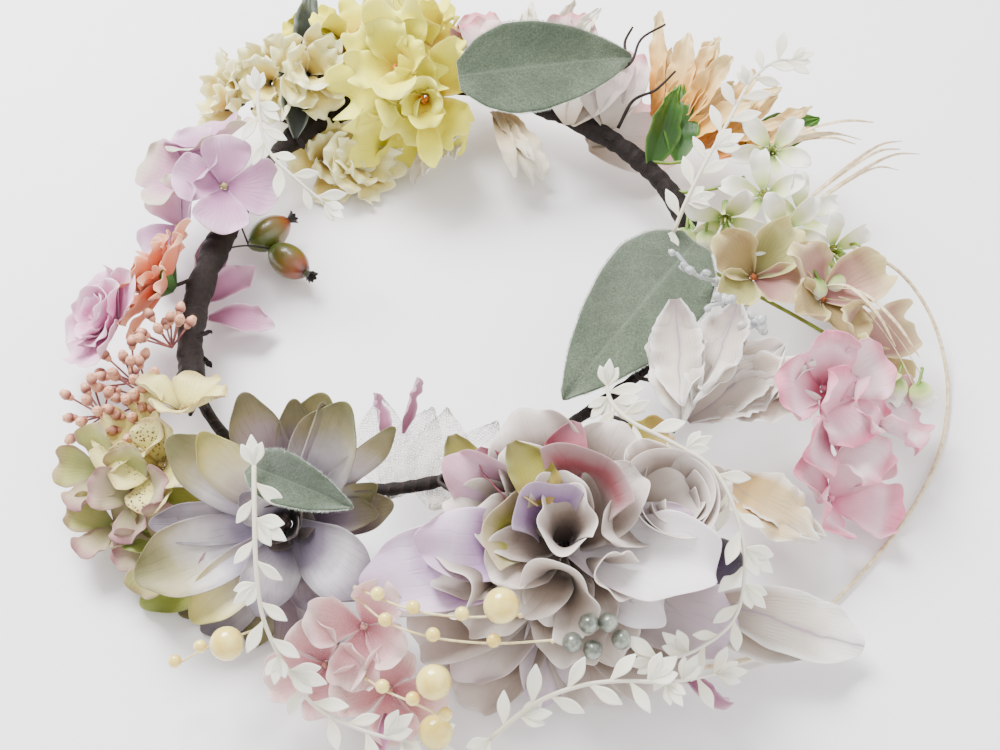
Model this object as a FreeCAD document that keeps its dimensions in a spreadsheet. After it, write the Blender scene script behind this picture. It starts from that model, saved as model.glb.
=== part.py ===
import FreeCAD, Part
import math
import os

import Sketcher

# Flower crown: a taped wire ring that carries artificial and preserved flowers.
# Millimetres. The origin is the middle of the head opening, in the plane of the
# ring wire. +Z points up, +X to the wearer's side with the lily bells, and the
# largest blooms lie towards -Y. The crown lies flat on its lowest petals.

V = FreeCAD.Vector
doc = FreeCAD.newDocument("FlowerCrown")

# ---------------------------------------------------------------- driving sizes

SIZES = {
    "ring_mean": 92.0,
    "ring_oval": 6.7,
    "ring_oval_heading": 59.0,
    "ring_corner": 4.8,
    "ring_corner_heading": -5.0,
    "wire_radius": 0.9,
    "tape_radius": 1.9,
    "wrap_radius": 4.6,
    "fabric": 0.5,
    "leaf_thickness": 0.9,
    "stem_radius": 0.7,
    "thread_radius": 0.35,
    "vine_radius": 0.7,
    "berry_radius": 2.1,
    "small_pearl_radius": 2.1,
    "large_pearl_radius": 5.2,
    "silver_berry_radius": 3.0,
    "throat_radius": 2.6,
    "hip_length": 17.0,
    "hip_width": 13.0,
    "hip_crown_base": 3.2,
    "hip_crown_mouth": 1.4,
    "hip_crown_height": 4.0,
    "bell_reach": 4.2,
    "bell_depth": 8.0,
    "star_tube_length": 12.0,
    "star_tube_foot": 1.6,
    "star_tube_throat": 2.6,
    "vine_leaf_length": 11.0,
    "vine_leaf_width": 5.0,
    "loop_radius": 0.7,
    "loop_start_up": 4.0,
    "loop_laid_up": -22.2,
}

# Each die-cut petal layer: number of petals, reach from its axis, rise of the tips.
LAYERS = {
    "yellow_floret": (5, 20, 10),
    "yellow_centre": (5, 13, 10),
    "cream_floret": (5, 14, 9),
    "pink_floret": (4, 18, 5),
    "coral_outer": (10, 18, 9),
    "coral_inner": (8, 12, 10),
    "double_outer": (6, 15, 7),
    "double_inner": (5, 10, 8),
    "cream_hydrangea_floret": (4, 15, 6),
    "olive_sepal_floret": (4, 16, 4),
    "dahlia_outer": (8, 47, 20),
    "dahlia_middle": (7, 38, 24),
    "dahlia_inner": (5, 27, 22),
    "dahlia_heart": (3, 10, 12),
    "rose_outer": (6, 54, 16),
    "rose_middle": (5, 42, 22),
    "rose_inner": (4, 24, 18),
    "rose_heart": (3, 12, 13),
    "whorl_outer": (4, 22, 18),
    "whorl_inner": (3, 13, 13),
    "bud_petals": (3, 8, 12),
    "glitter_floret": (4, 17, 6),
    "right_pink_floret": (4, 19, 7),
    "olive_floret": (4, 20, 6),
    "calyx_cup": (5, 7, 8),
    "star_floret": (5, 13, 3),
}

# Each single petal or leaf: length, width, arch of its middle above its ends.
BLADES = {
    "velvet_front": (36, 18, 3),
    "velvet_right": (86, 37, 7),
    "velvet_top": (64, 32, 6),
    "dark_leaf": (40, 15, 4),
    "green_leaf": (32, 16, 4),
    "feather": (50, 20, 6),
    "broad_petal": (46, 34, 9),
    "blush_petal": (36, 26, 7),
    "tinted_petal": (24, 19, 5),
    "curled_petal": (20, 11, 4),
    "skeleton_blade": (38, 22, 3),
    "mauve_petal": (24, 15, 4),
    "tuft_ribbon": (42, 9, 8),
}


def fill_sheet():
    """Write every driving size into the sheet, one aliased cell each."""
    sheet = doc.addObject("Spreadsheet::Sheet", "Sizes")
    cells = dict(SIZES)
    for name, (petals, reach, rise) in LAYERS.items():
        cells[name + "_petals"] = petals
        cells[name + "_reach"] = reach
        cells[name + "_rise"] = rise
    for name, (length, width, arch) in BLADES.items():
        cells[name + "_length"] = length
        cells[name + "_width"] = width
        cells[name + "_arch"] = arch
    for row, (alias, value) in enumerate(cells.items(), start=1):
        sheet.set("A%d" % row, alias)
        sheet.set("B%d" % row, str(value))
        sheet.setAlias("B%d" % row, alias)
    doc.recompute()
    return sheet


SHEET = fill_sheet()
NODES = []


def size(alias):
    return float(SHEET.get(alias))


def cell(alias):
    return "Sizes." + alias


# ---------------------------------------------------------------- placing pieces


def spot(angle, radius, up):
    """A point by compass angle and distance from the head opening's middle."""
    turn = math.radians(angle)
    return V(radius * math.cos(turn), radius * math.sin(turn), up)


def ring_radius(angle):
    """The ring is an uneven oval: a circle with an oval and a three-cornered part."""
    oval = math.radians(2 * (angle - size("ring_oval_heading")))
    corner = math.radians(3 * (angle - size("ring_corner_heading")))
    return size("ring_mean") + size("ring_oval") * math.cos(oval) + size("ring_corner") * math.cos(corner)


def on_ring(angle, up=0.0):
    return spot(angle, ring_radius(angle), up)


def flower_place(point, lean=0, toward=0, spin=0):
    """Stand a piece's +Z at a point, leaning by some degrees to a compass heading."""
    heading = FreeCAD.Rotation(V(0, 0, 1), toward)
    tip = FreeCAD.Rotation(V(0, 1, 0), lean)
    own = FreeCAD.Rotation(V(0, 0, 1), spin - toward)
    return FreeCAD.Placement(point, heading.multiply(tip).multiply(own))


def blade_place(point, heading, climb=0, roll=0):
    """Lay a piece's +X from a point along a heading, climbing, and rolled about itself."""
    turn = FreeCAD.Rotation(V(0, 0, 1), heading)
    rise = FreeCAD.Rotation(V(0, 1, 0), -climb)
    about = FreeCAD.Rotation(V(1, 0, 0), roll)
    return FreeCAD.Placement(point, turn.multiply(rise).multiply(about))


# ---------------------------------------------------------------- sketches


def origin_plane(body, role):
    return next(item for item in body.Origin.OriginFeatures if item.Role == role)


def new_sketch(body, role, name):
    sketch = body.newObject("Sketcher::SketchObject", name)
    sketch.AttachmentSupport = [(origin_plane(body, role), "")]
    sketch.MapMode = "FlatFace"
    return sketch


def pin(sketch, edge, end, across, above):
    """Hold one end of a sketch edge at two sheet expressions."""
    for kind, expression in (("DistanceX", across), ("DistanceY", above)):
        value = float(sketch.evalExpression(expression))
        index = sketch.addConstraint(Sketcher.Constraint(kind, -1, 1, edge, end, value))
        sketch.setExpression("Constraints[%d]" % index, expression)


def arc_through(start, middle, end):
    """A sketch arc through three points, always counter-clockwise about +Z."""
    curve = Part.Arc(start, middle, end).toShape().Curve
    centre = curve.Center
    angles = [math.atan2(point.y - centre.y, point.x - centre.x) for point in (start, middle, end)]
    full = 2 * math.pi
    if (angles[1] - angles[0]) % full > (angles[2] - angles[0]) % full:
        angles.reverse()
    sweep = (angles[2] - angles[0]) % full
    circle = Part.Circle(centre, V(0, 0, 1), curve.Radius)
    return Part.ArcOfCircle(circle, angles[0], angles[0] + sweep)


def closed_outline(sketch, corners, bulges):
    """Join corners with lines, or with arcs where a bulge gives the middle point."""
    count = len(corners)
    for index in range(count):
        start = corners[index]
        end = corners[(index + 1) % count]
        middle = bulges.get(index)
        if middle is None:
            sketch.addGeometry(Part.LineSegment(start, end))
        else:
            sketch.addGeometry(arc_through(start, middle, end))


# ---------------------------------------------------------------- petal layers


def bowl_profile(sketch, name):
    """Half section of a thin round bowl: two arcs about one centre on the axis."""
    reach = size(name + "_reach")
    rise = size(name + "_rise")
    fabric = size("fabric")
    ball = (reach ** 2 + rise ** 2) / (2 * rise)
    centre = V(0, ball, 0)
    opening = math.atan2(reach, ball - rise)
    outer = ball + fabric
    low = -math.pi / 2
    upper_rim = V(reach, rise, 0)
    lower_rim = V(outer * math.sin(opening), ball - outer * math.cos(opening), 0)
    up = V(0, 0, 1)
    sketch.addGeometry(Part.ArcOfCircle(Part.Circle(centre, up, ball), low, low + opening))
    sketch.addGeometry(Part.LineSegment(upper_rim, lower_rim))
    sketch.addGeometry(Part.ArcOfCircle(Part.Circle(centre, up, outer), low, low + opening))
    sketch.addGeometry(Part.LineSegment(V(0, -fabric, 0), V(0, 0, 0)))
    join_ends = ((0, 2, 1, 1), (1, 2, 2, 2), (2, 1, 3, 1), (3, 2, 0, 1))
    for first, first_end, second, second_end in join_ends:
        sketch.addConstraint(Sketcher.Constraint("Coincident", first, first_end, second, second_end))
    sketch.addConstraint(Sketcher.Constraint("Coincident", 0, 3, 2, 3))
    pin(sketch, 3, 2, "0", "0")
    pin(sketch, 1, 1, cell(name + "_reach"), cell(name + "_rise"))
    sketch.addConstraint(Sketcher.Constraint("PointOnObject", 0, 3, -2))
    length = sketch.addConstraint(Sketcher.Constraint("DistanceY", 3, 1, 3, 2, fabric))
    sketch.setExpression("Constraints[%d]" % length, cell("fabric"))


def petal_layer(name):
    """One die-cut layer: a thin pressed bowl, notched between its petals."""
    body = doc.addObject("PartDesign::Body", name)
    body.Label = name
    profile = new_sketch(body, "XZ_Plane", name + "_profile")
    bowl_profile(profile, name)
    bowl = body.newObject("PartDesign::Revolution", name + "_bowl")
    bowl.Profile = profile
    bowl.ReferenceAxis = (profile, ["V_Axis"])
    bowl.Angle = 360
    doc.recompute()

    petals = size(name + "_petals")
    reach = size(name + "_reach")
    sector = math.pi / petals
    hub = V(0.22 * reach, 0, 0)
    slit = V(0.66 * reach, 0, 0) + V(0, 0.09 * reach * sector, 0)
    shoulder = V(reach * math.cos(0.42 * sector), reach * math.sin(0.42 * sector), 0)
    edge = V(math.cos(0.95 * sector), math.sin(0.95 * sector), 0)
    upper = [slit, edge * (1.1 * reach), edge * (2.4 * reach)]
    lower = [V(point.x, -point.y, 0) for point in reversed(upper)]
    notch = new_sketch(body, "XY_Plane", name + "_notch")
    corners = [hub] + upper + lower
    bulges = {1: shoulder, 5: V(shoulder.x, -shoulder.y, 0)}
    closed_outline(notch, corners, bulges)
    gap = body.newObject("PartDesign::Pocket", name + "_gap")
    gap.Profile = notch
    gap.Type = "ThroughAll"
    gap.SideType = "Symmetric"
    doc.recompute()

    petals_all = body.newObject("PartDesign::PolarPattern", name + "_all_gaps")
    petals_all.Originals = [gap]
    petals_all.Axis = (notch, ["N_Axis"])
    petals_all.Angle = 360
    petals_all.setExpression("Occurrences", cell(name + "_petals"))
    body.Tip = petals_all
    doc.recompute()
    return body


# ---------------------------------------------------------------- single petals and leaves


def blade(name):
    """One petal or leaf: a thin arched strip cut to a pointed oval outline."""
    length = size(name + "_length")
    width = size(name + "_width")
    arch = size(name + "_arch")
    skin = size("leaf_thickness")
    body = doc.addObject("PartDesign::Body", name)
    body.Label = name
    section = new_sketch(body, "XZ_Plane", name + "_section")
    corners = [V(0, 0, 0), V(length, 0, 0), V(length, -skin, 0), V(0, -skin, 0)]
    bulges = {0: V(length / 2, arch, 0), 2: V(length / 2, arch - skin, 0)}
    closed_outline(section, corners, bulges)
    for first in range(4):
        second = (first + 1) % 4
        start = 2 if section.Geometry[first].EndPoint.distanceToPoint(corners[second]) < 0.001 else 1
        begin = 1 if section.Geometry[second].StartPoint.distanceToPoint(corners[second]) < 0.001 else 2
        section.addConstraint(Sketcher.Constraint("Coincident", first, start, second, begin))
    pin(section, 1, 1, cell(name + "_length"), "0")
    pin(section, 1, 2, cell(name + "_length"), "-" + cell("leaf_thickness"))
    strip = body.newObject("PartDesign::Pad", name + "_strip")
    strip.Profile = section
    strip.SideType = "Symmetric"
    strip.setExpression("Length", cell(name + "_width") + " * 1.4")
    doc.recompute()

    trim = new_sketch(body, "XY_Plane", name + "_trim")
    margin = 5.0
    half = 0.8 * width + margin
    near = -margin
    far = length + margin
    frame = [V(near, -half, 0), V(far, -half, 0), V(far, half, 0), V(near, half, 0)]
    closed_outline(trim, frame, {})
    inset = 0.3
    base = V(inset, 0, 0)
    end = V(length - inset, 0, 0)
    widest = 0.5 * length
    trim.addGeometry(arc_through(base, V(widest, width / 2, 0), end))
    trim.addGeometry(arc_through(end, V(widest, -width / 2, 0), base))
    outline = body.newObject("PartDesign::Pocket", name + "_outline")
    outline.Profile = trim
    outline.Type = "ThroughAll"
    outline.SideType = "Symmetric"
    body.Tip = outline
    doc.recompute()
    return body


# ---------------------------------------------------------------- wires, stems and tapes


def rounded_path(points, closed=False):
    """Straight runs joined by tangent arcs as large as the runs allow."""
    count = len(points)
    corners = range(count) if closed else range(1, count - 1)
    edges = []
    here = None if closed else points[0]
    first = None
    for index in corners:
        corner = points[index]
        back = points[index - 1] - corner
        ahead = points[(index + 1) % count] - corner
        cut = 0.45 * min(back.Length, ahead.Length)
        back.normalize()
        ahead.normalize()
        turn = math.pi - back.getAngle(ahead)
        radius = cut / math.tan(turn / 2)
        inward = back + ahead
        inward.normalize()
        centre = corner + inward * (radius / math.cos(turn / 2))
        start = corner + back * cut
        end = corner + ahead * cut
        if here is None:
            first = start
        else:
            edges.append(Part.LineSegment(here, start).toShape())
        edges.append(Part.Arc(start, centre - inward * radius, end).toShape())
        here = end
    edges.append(Part.LineSegment(here, first if closed else points[-1]).toShape())
    return Part.Wire(edges)


def tube(points, radius, closed=False):
    """A round solid rod along a rounded path."""
    path = rounded_path(points, closed)
    edge = path.Edges[0]
    start = edge.valueAt(edge.FirstParameter)
    ahead = edge.tangentAt(edge.FirstParameter)
    ring = Part.Wire(Part.makeCircle(radius, start, ahead))
    return path.makePipeShell([ring], True, False)


def feature(label, shapes):
    """A sub-part made of one or more separate solids."""
    node = doc.addObject("Part::Feature", label)
    node.Label = label
    solids = [solid for shape in shapes for solid in shape.Solids]
    node.Shape = Part.makeCompound(solids)
    node.Placement = FreeCAD.Placement()
    NODES.append(node)
    return node


def own_body(body, label, place):
    """Keep a body as its own sub-part, standing at its place."""
    body.Label = label
    body.Placement = place
    NODES.append(body)


def copies(body, places):
    """Placed copies of a body's shape."""
    return [body.Shape.transformed(place.toMatrix()) for place in places]


def balls(alias, points):
    """A bead template bound to the sheet, and its copies at the points."""
    template = doc.addObject("Part::Sphere", alias + "_bead")
    template.setExpression("Radius", cell(alias))
    doc.recompute()
    places = [FreeCAD.Placement(point, FreeCAD.Rotation()) for point in points]
    return copies(template, places)


# ---------------------------------------------------------------- the ring

RING_STEP = 15


def make_ring():
    """The closed core wire, the tape round it, and the thicker taped stem bundles."""
    points = [on_ring(angle) for angle in range(0, 360, RING_STEP)]
    wire = tube(points, size("wire_radius"), closed=True)
    outside = tube(points, size("tape_radius"), closed=True)
    feature("frame_wire", [wire])
    feature("ring_tape", [outside.cut(wire)])
    wraps = {
        "tape_wrap_left": (150, 212),
        "tape_wrap_top_left": (112, 134),
        "tape_wrap_top_right": (14, 66),
    }
    for label, (start, end) in wraps.items():
        path = [on_ring(angle) for angle in range(start, end + 1, 6)]
        sleeve = tube(path, size("wrap_radius")).cut(tube(points, size("tape_radius"), closed=True))
        feature(label, [sleeve])


def stem_to_ring(point, angle, drop=0.6):
    """A stem from a flower's base that bends down to lie beside the ring tape."""
    beside = size("tape_radius") + size("stem_radius")
    foot = spot(angle, ring_radius(angle), beside)
    knee = foot + (point - foot) * drop
    knee = V(knee.x, knee.y, foot.z + (point.z - foot.z) * 0.25)
    end = spot(angle + 5, ring_radius(angle + 5), beside)
    return tube([point, knee, foot, end], size("stem_radius"))


def make_stems():
    """Taped brown stems and bare green stems, each from a bloom to the ring."""
    brown = (
        (spot(128, 107, 8), 124), (spot(133, 112, 3), 128), (spot(120, 100, 10), 118),
        (spot(160, 96, 6), 156), (spot(188, 100, 3), 184), (spot(212, 104, 4), 206),
        (spot(222, 108, 8), 216), (spot(248, 116, 2), 240), (spot(284, 122, 8), 270),
        (spot(300, 122, 12), 292), (spot(315, 112, 8), 308), (spot(330, 132, 6), 322),
        (spot(352, 116, 6), 346),
    )
    green = (
        (spot(97, 84, 14), 100), (spot(108, 108, 12), 105), (spot(17, 118, 12), 22),
        (spot(4, 98, 8), 12), (spot(358, 150, 6), 6), (spot(343, 168, -4), 0),
        (spot(28, 104, 6), 34),
    )
    feature("brown_stems", [stem_to_ring(point, angle) for point, angle in brown])
    return [stem_to_ring(point, angle) for point, angle in green]


# ---------------------------------------------------------------- back: yellow, cream, blush


def make_yellow_group():
    """Ruffled yellow florets over the back of the ring, each with an orange throat."""
    outer = petal_layer("yellow_floret")
    inner = petal_layer("yellow_centre")
    seats = (
        (spot(95, 66, 14), 62, 268, 10), (spot(101, 86, 20), 42, 250, 40),
        (spot(108, 112, 12), 30, 160, 0), (spot(95, 108, 14), 26, 60, 20),
        (spot(116, 124, 0), 46, 140, 0), (spot(98, 80, -1), 104, 268, 30),
    )
    places = [flower_place(point, lean, toward, spin) for point, lean, toward, spin in seats]
    lifted = [place.multiply(FreeCAD.Placement(V(0, 0, 2.5), FreeCAD.Rotation())) for place in places]
    feature("yellow_petals", copies(outer, places) + copies(inner, lifted[:5]))
    throats = [place.multVec(V(0, 0, 6)) for place in places[:5]]
    feature("yellow_throats", balls("throat_radius", throats))


def make_cream_group():
    """Small frilled cream florets at the back left, above and below the ring."""
    floret = petal_layer("cream_floret")
    calyx = petal_layer("calyx_cup")
    seats = (
        (spot(128, 110, 12), 42, 250, 0), (spot(134, 117, 5), 62, 190, 20),
        (spot(121, 104, 14), 38, 300, 35), (spot(124, 86, -16), 48, 300, 10),
        (spot(117, 78, -16), 46, 320, 50),
    )
    places = [flower_place(point, lean, toward, spin) for point, lean, toward, spin in seats]
    below = [place.multiply(FreeCAD.Placement(V(0, 0, -2.6), FreeCAD.Rotation())) for place in places]
    feature("cream_petals", copies(floret, places))
    return copies(calyx, below[:3])


def make_blush_group():
    """Blush petals, a dried tuft, apricot ribbons and brown twigs at the back right."""
    petal = blade("blush_petal")
    ribbon = blade("tuft_ribbon")
    blush = (
        (spot(56, 88, 2), 60, 30, 20), (spot(48, 96, 2), 84, 40, -10), (spot(60, 96, 6), 110, 30, 0),
        (spot(74, 92, 2), 96, 34, 10), (spot(82, 90, 2), 70, 25, -20), (spot(52, 92, -8), 20, 10, 20),
    )
    dried = (
        (spot(66, 96, 2), 50, 35, 0), (spot(70, 98, 2), 84, 40, 20), (spot(78, 98, -10), 280, 0, 0),
        (spot(86, 98, -12), 250, 0, 10),
    )
    apricot = (
        (spot(36, 106, 2), 34, 24, 10), (spot(38, 112, 4), 48, 30, -10), (spot(42, 112, 4), 62, 30, 0),
        (spot(32, 116, 2), 20, 22, 10), (spot(28, 120, 2), 4, 16, 0),
    )
    feature("blush_petals", copies(petal, [blade_place(*seat) for seat in blush]))
    feature("dried_ribbons", copies(ribbon, [blade_place(*seat) for seat in dried + apricot]))
    twigs = (
        (spot(54, 96, 3), spot(55, 104, 14), spot(50, 112, 22), spot(51, 122, 27), spot(48, 128, 34)),
        (spot(46, 98, 3), spot(46, 106, 12), spot(42, 110, 20), spot(41, 118, 26)),
    )
    feature("brown_twigs", [tube(list(points), size("stem_radius")) for points in twigs])


def make_velvet_leaves():
    """Three large woolly leaves and two narrow dark ones, each its own piece."""
    seats = {
        "velvet_leaf_top": ("velvet_top", (spot(86, 82, 13), 9, 2, 38)),
        "velvet_leaf_right": ("velvet_right", (spot(2, 92, 9), 236, 4, -16)),
        "velvet_leaf_front": ("velvet_front", (spot(245, 125, 36), 329, 12, 24)),
    }
    for label, (name, seat) in seats.items():
        own_body(blade(name), label, blade_place(*seat))
    dark = blade("dark_leaf")
    seats = ((spot(132, 86, 3), 92, 32, 30), (spot(122, 104, 10), 86, 30, 20))
    feature("dark_leaves", copies(dark, [blade_place(*seat) for seat in seats]))
    green = blade("green_leaf")
    seats = (
        (spot(32, 93, 2), 62, 38, 40), (spot(30, 104, 2), 84, 30, 10), (spot(26, 128, 6), 20, 14, 20),
    )
    feature("green_leaves", copies(green, [blade_place(*seat) for seat in seats]))


# ---------------------------------------------------------------- left side


def make_left_pinks():
    """Pink hydrangea florets, the coral flower, the pink double and the mauve petals."""
    floret = petal_layer("pink_floret")
    seats = (
        (spot(161, 84, 14), 30, 300, 20), (spot(158, 102, 9), 26, 180, 0),
        (spot(168, 99, 0), 58, 200, 30), (spot(150, 101, 12), 34, 120, 10),
    )
    feature("pink_hydrangea", copies(floret, [flower_place(*seat) for seat in seats]))
    coral = flower_place(spot(188, 97, 6), 62, 160, 0)
    coral_lift = coral.multiply(FreeCAD.Placement(V(0, 0, 2.5), FreeCAD.Rotation()))
    coral_layers = copies(petal_layer("coral_outer"), [coral])
    coral_layers += copies(petal_layer("coral_inner"), [coral_lift])
    feature("coral_petals", coral_layers)
    calyx = petal_layer("bud_petals")
    behind = coral.multiply(FreeCAD.Placement(V(0, 0, -3), FreeCAD.Rotation()))
    double = flower_place(spot(194, 116, 2), 46, 190, 0)
    double_lift = double.multiply(FreeCAD.Placement(V(0, 0, 2.5), FreeCAD.Rotation()))
    double_layers = copies(petal_layer("double_outer"), [double])
    double_layers += copies(petal_layer("double_inner"), [double_lift])
    feature("pink_double", double_layers)
    mauve = blade("mauve_petal")
    seats = (
        (spot(184, 88, -12), 40, -4, 10), (spot(188, 86, -14), 0, -8, 0),
        (spot(178, 90, -10), 70, 4, 20),
    )
    feature("mauve_petals", copies(mauve, [blade_place(*seat) for seat in seats]))
    return calyx, behind


def make_rosehips():
    """Two hanging rose hips with dried crowns, on thin dark wires from the ring."""
    hip = doc.addObject("Part::Ellipsoid", "hip_template")
    hip.setExpression("Radius1", cell("hip_length") + " / 2")
    hip.setExpression("Radius2", cell("hip_width") + " / 2")
    hip.setExpression("Radius3", cell("hip_width") + " / 2")
    doc.recompute()
    seats = ((spot(164, 61, -14), 92, 320, 0), (spot(157, 73, -13), 84, 40, 0))
    places = [flower_place(*seat) for seat in seats]
    hips = [hip.Shape.transformed(place.toMatrix()) for place in places]
    half = size("hip_length") / 2
    sunk = 0.6
    base = size("hip_crown_base")
    mouth = size("hip_crown_mouth")
    crown = Part.makeCone(base, mouth, size("hip_crown_height"), V(0, 0, half - sunk))
    crowns = [crown.transformed(place.toMatrix()) for place in places]
    feature("rosehips", [fruit.fuse(crown) for fruit, crown in zip(hips, crowns)])
    wires = []
    for place, angle in zip(places, (172, 160)):
        tail = place.multVec(V(0, 0, -half + 0.3))
        mid = (tail + on_ring(angle, -4)) * 0.5 + V(0, 0, 3)
        wires.append(tube([tail, mid, on_ring(angle, -3)], size("thread_radius")))
    feature("rosehip_wires", wires)


def make_umbels():
    """Beaded umbels: every stalk fans out from its hub to one bead."""
    hubs = (
        (spot(208, 116, 2), 150, 10), (spot(213, 114, 3), 180, 11), (spot(217, 120, 1), 210, 10),
        (spot(205, 100, 6), 120, 10), (spot(211, 130, 0), 190, 9),
    )
    golden = 137.5
    sunk = 0.2
    stalks = []
    beads = []
    for hub, toward, count in hubs:
        place = flower_place(hub, 38, toward, 0)
        for number in range(count):
            spread = 8 + 52 * math.sqrt((number + 0.5) / count)
            reach = 14.0 if number % 2 else 11.0
            way = flower_place(V(0, 0, 0), spread, number * golden, 0).multVec(V(0, 0, 1))
            tip = place.multVec(way * reach)
            bare = reach - size("berry_radius") + sunk
            beads.append(tip)
            stalks.append(Part.makeCylinder(size("thread_radius"), bare, hub, tip - hub))
    feature("berry_beads", balls("berry_radius", beads))
    feature("berry_stalks", stalks)


def make_left_sepals():
    """Cream and olive hydrangea sepals at the front left."""
    cream = petal_layer("cream_hydrangea_floret")
    seats = (
        (spot(222, 110, 12), 30, 80, 0), (spot(226, 126, 5), 34, 230, 20), (spot(219, 124, 2), 30, 200, 40),
    )
    feature("cream_hydrangea", copies(cream, [flower_place(*seat) for seat in seats]))
    olive = petal_layer("olive_sepal_floret")
    seats = (
        (spot(218, 139, -6), 40, 210, 10), (spot(226, 136, -2), 34, 230, 30),
        (spot(224, 146, -14), 24, 220, 0), (spot(233, 143, -8), 36, 240, 20),
    )
    feature("olive_sepals", copies(olive, [flower_place(*seat) for seat in seats]))


# ---------------------------------------------------------------- front: the two large blooms


def make_dahlia():
    """The lilac and olive bloom: three layers of spoon petals and a tight heart."""
    seat = flower_place(spot(248, 117.5, -2), 30, 262, 12)
    steps = (
        ("dahlia_outer", 0, 0), ("dahlia_middle", 4, 20), ("dahlia_inner", 8, 40), ("dahlia_heart", 12, 0),
    )
    for name, lift, spin in steps:
        shift = FreeCAD.Placement(V(0, 0, lift), FreeCAD.Rotation(V(0, 0, 1), spin))
        own_body(petal_layer(name), "lilac_" + name, seat.multiply(shift))


def make_rose(calyx):
    """The greige rose: wide outer petals, a ruffled middle and a rolled heart."""
    seat = flower_place(spot(288, 133, 8), 16, 270, 0)
    steps = (("rose_outer", 0, 10), ("rose_middle", 5, 40), ("rose_inner", 11, 0), ("rose_heart", 16, 30))
    for name, lift, spin in steps:
        shift = FreeCAD.Placement(V(0, 0, lift), FreeCAD.Rotation(V(0, 0, 1), spin))
        own_body(petal_layer(name), "greige_" + name, seat.multiply(shift))
    whorl = flower_place(spot(301, 134, 14), 22, 300, 0)
    inside = whorl.multiply(FreeCAD.Placement(V(0, 0, 4), FreeCAD.Rotation(V(0, 0, 1), 30)))
    whorl_layers = copies(petal_layer("whorl_outer"), [whorl])
    whorl_layers += copies(petal_layer("whorl_inner"), [inside])
    feature("greige_whorl", whorl_layers)
    under = seat.multiply(FreeCAD.Placement(V(0, 0, -4), FreeCAD.Rotation()))
    bud = flower_place(spot(303, 150, 6), 50, 320, 0)
    bud_in = bud.multiply(FreeCAD.Placement(V(0, 0, 3), FreeCAD.Rotation(V(0, 0, 1), 60)))
    feature("purple_bud", copies(calyx, [bud, bud_in]))
    broad = blade("broad_petal")
    seats = (
        (spot(277, 130, 22), 186, 8, 20), (spot(291, 150, 26), 312, 14, 10),
        (spot(285, 144, 4), 262, -34, 0), (spot(272, 140, 4), 236, -10, 10),
        (spot(297, 140, 4), 300, -36, -10), (spot(274, 144, 4), 250, -34, 0),
    )
    feature("broad_petals", copies(broad, [blade_place(*seat) for seat in seats]))
    tinted = blade("tinted_petal")
    seats = (
        (spot(283, 126, 26), 130, 30, 20), (spot(288, 124, 28), 70, 30, 0), (spot(286, 132, 34), 120, 20, 0),
        (spot(277, 116, 18), 110, 24, 10), (spot(300, 112, 16), 20, 10, 0),
    )
    feature("tinted_petals", copies(tinted, [blade_place(*seat) for seat in seats]))
    return under


def make_front_trim():
    """Glittered florets, curled pink petals, silver berries and a skeleton leaf."""
    glitter = petal_layer("glitter_floret")
    seats = (
        (spot(263, 152, 8), 40, 262, 0), (spot(259, 160, -4), 46, 250, 30),
        (spot(266, 164, -8), 40, 280, 20),
    )
    feature("glitter_hydrangea", copies(glitter, [flower_place(*seat) for seat in seats]))
    curled = blade("curled_petal")
    seats = (
        (spot(262, 74, -2), 80, 30, 30), (spot(259, 78, -6), 110, 20, 0), (spot(266, 172, -6), 270, -6, 0),
        (spot(296, 174, -8), 320, -6, 0),
    )
    feature("pink_curls", copies(curled, [blade_place(*seat) for seat in seats]))
    berries = [
        spot(285, 166, 16), spot(287, 168, 12), spot(289, 164, 18), spot(290, 168, 13), spot(287, 163, 19),
    ]
    feature("silver_berries", balls("silver_berry_radius", berries))
    veil = blade("skeleton_blade")
    seats = ((spot(262, 100, -2), 84, -10, 10), (spot(270, 104, 0), 70, -8, 0))
    feature("skeleton_leaves", copies(veil, [blade_place(*seat) for seat in seats]))


def make_pearls():
    """Threads that spring from the blooms, each strung with beads."""
    threads = (
        (spot(262, 146, 20), spot(265, 152, 26), spot(269, 157, 28), spot(274, 160, 29), spot(280, 160, 27)),
        (spot(262, 148, 18), spot(266, 158, 22), spot(271, 163, 23), spot(277, 165, 21), spot(283, 165, 18)),
        (spot(264, 166, 2), spot(266, 172, 8), spot(269, 176, 9), spot(272, 179, 5)),
        (spot(250, 150, -10), spot(248, 160, -4), spot(246, 168, -2), spot(244, 174, -6)),
    )
    feature("pearl_threads", [tube(list(points), size("thread_radius")) for points in threads])
    off = size("small_pearl_radius") + size("thread_radius")
    small = [point + V(0, 0, off) for points in threads for point in points[1:4]]
    feature("small_pearls", balls("small_pearl_radius", small))
    large = [spot(278, 160, 34), spot(271, 173, 16), spot(271, 179, -4), spot(249, 166, 5)]
    feature("large_pearls", balls("large_pearl_radius", large))


# ---------------------------------------------------------------- ivory vines


def leaf_outline(length, width, thickness):
    """A flat pointed leaf along +X, made from two arcs."""
    base = V(0, 0, 0)
    end = V(length, 0, 0)
    sides = [
        Part.Arc(base, V(length * 0.5, width / 2, 0), end).toShape(),
        Part.Arc(end, V(length * 0.5, -width / 2, 0), base).toShape(),
    ]
    face = Part.Face(Part.Wire(sides))
    return face.extrude(V(0, 0, thickness))


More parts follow.
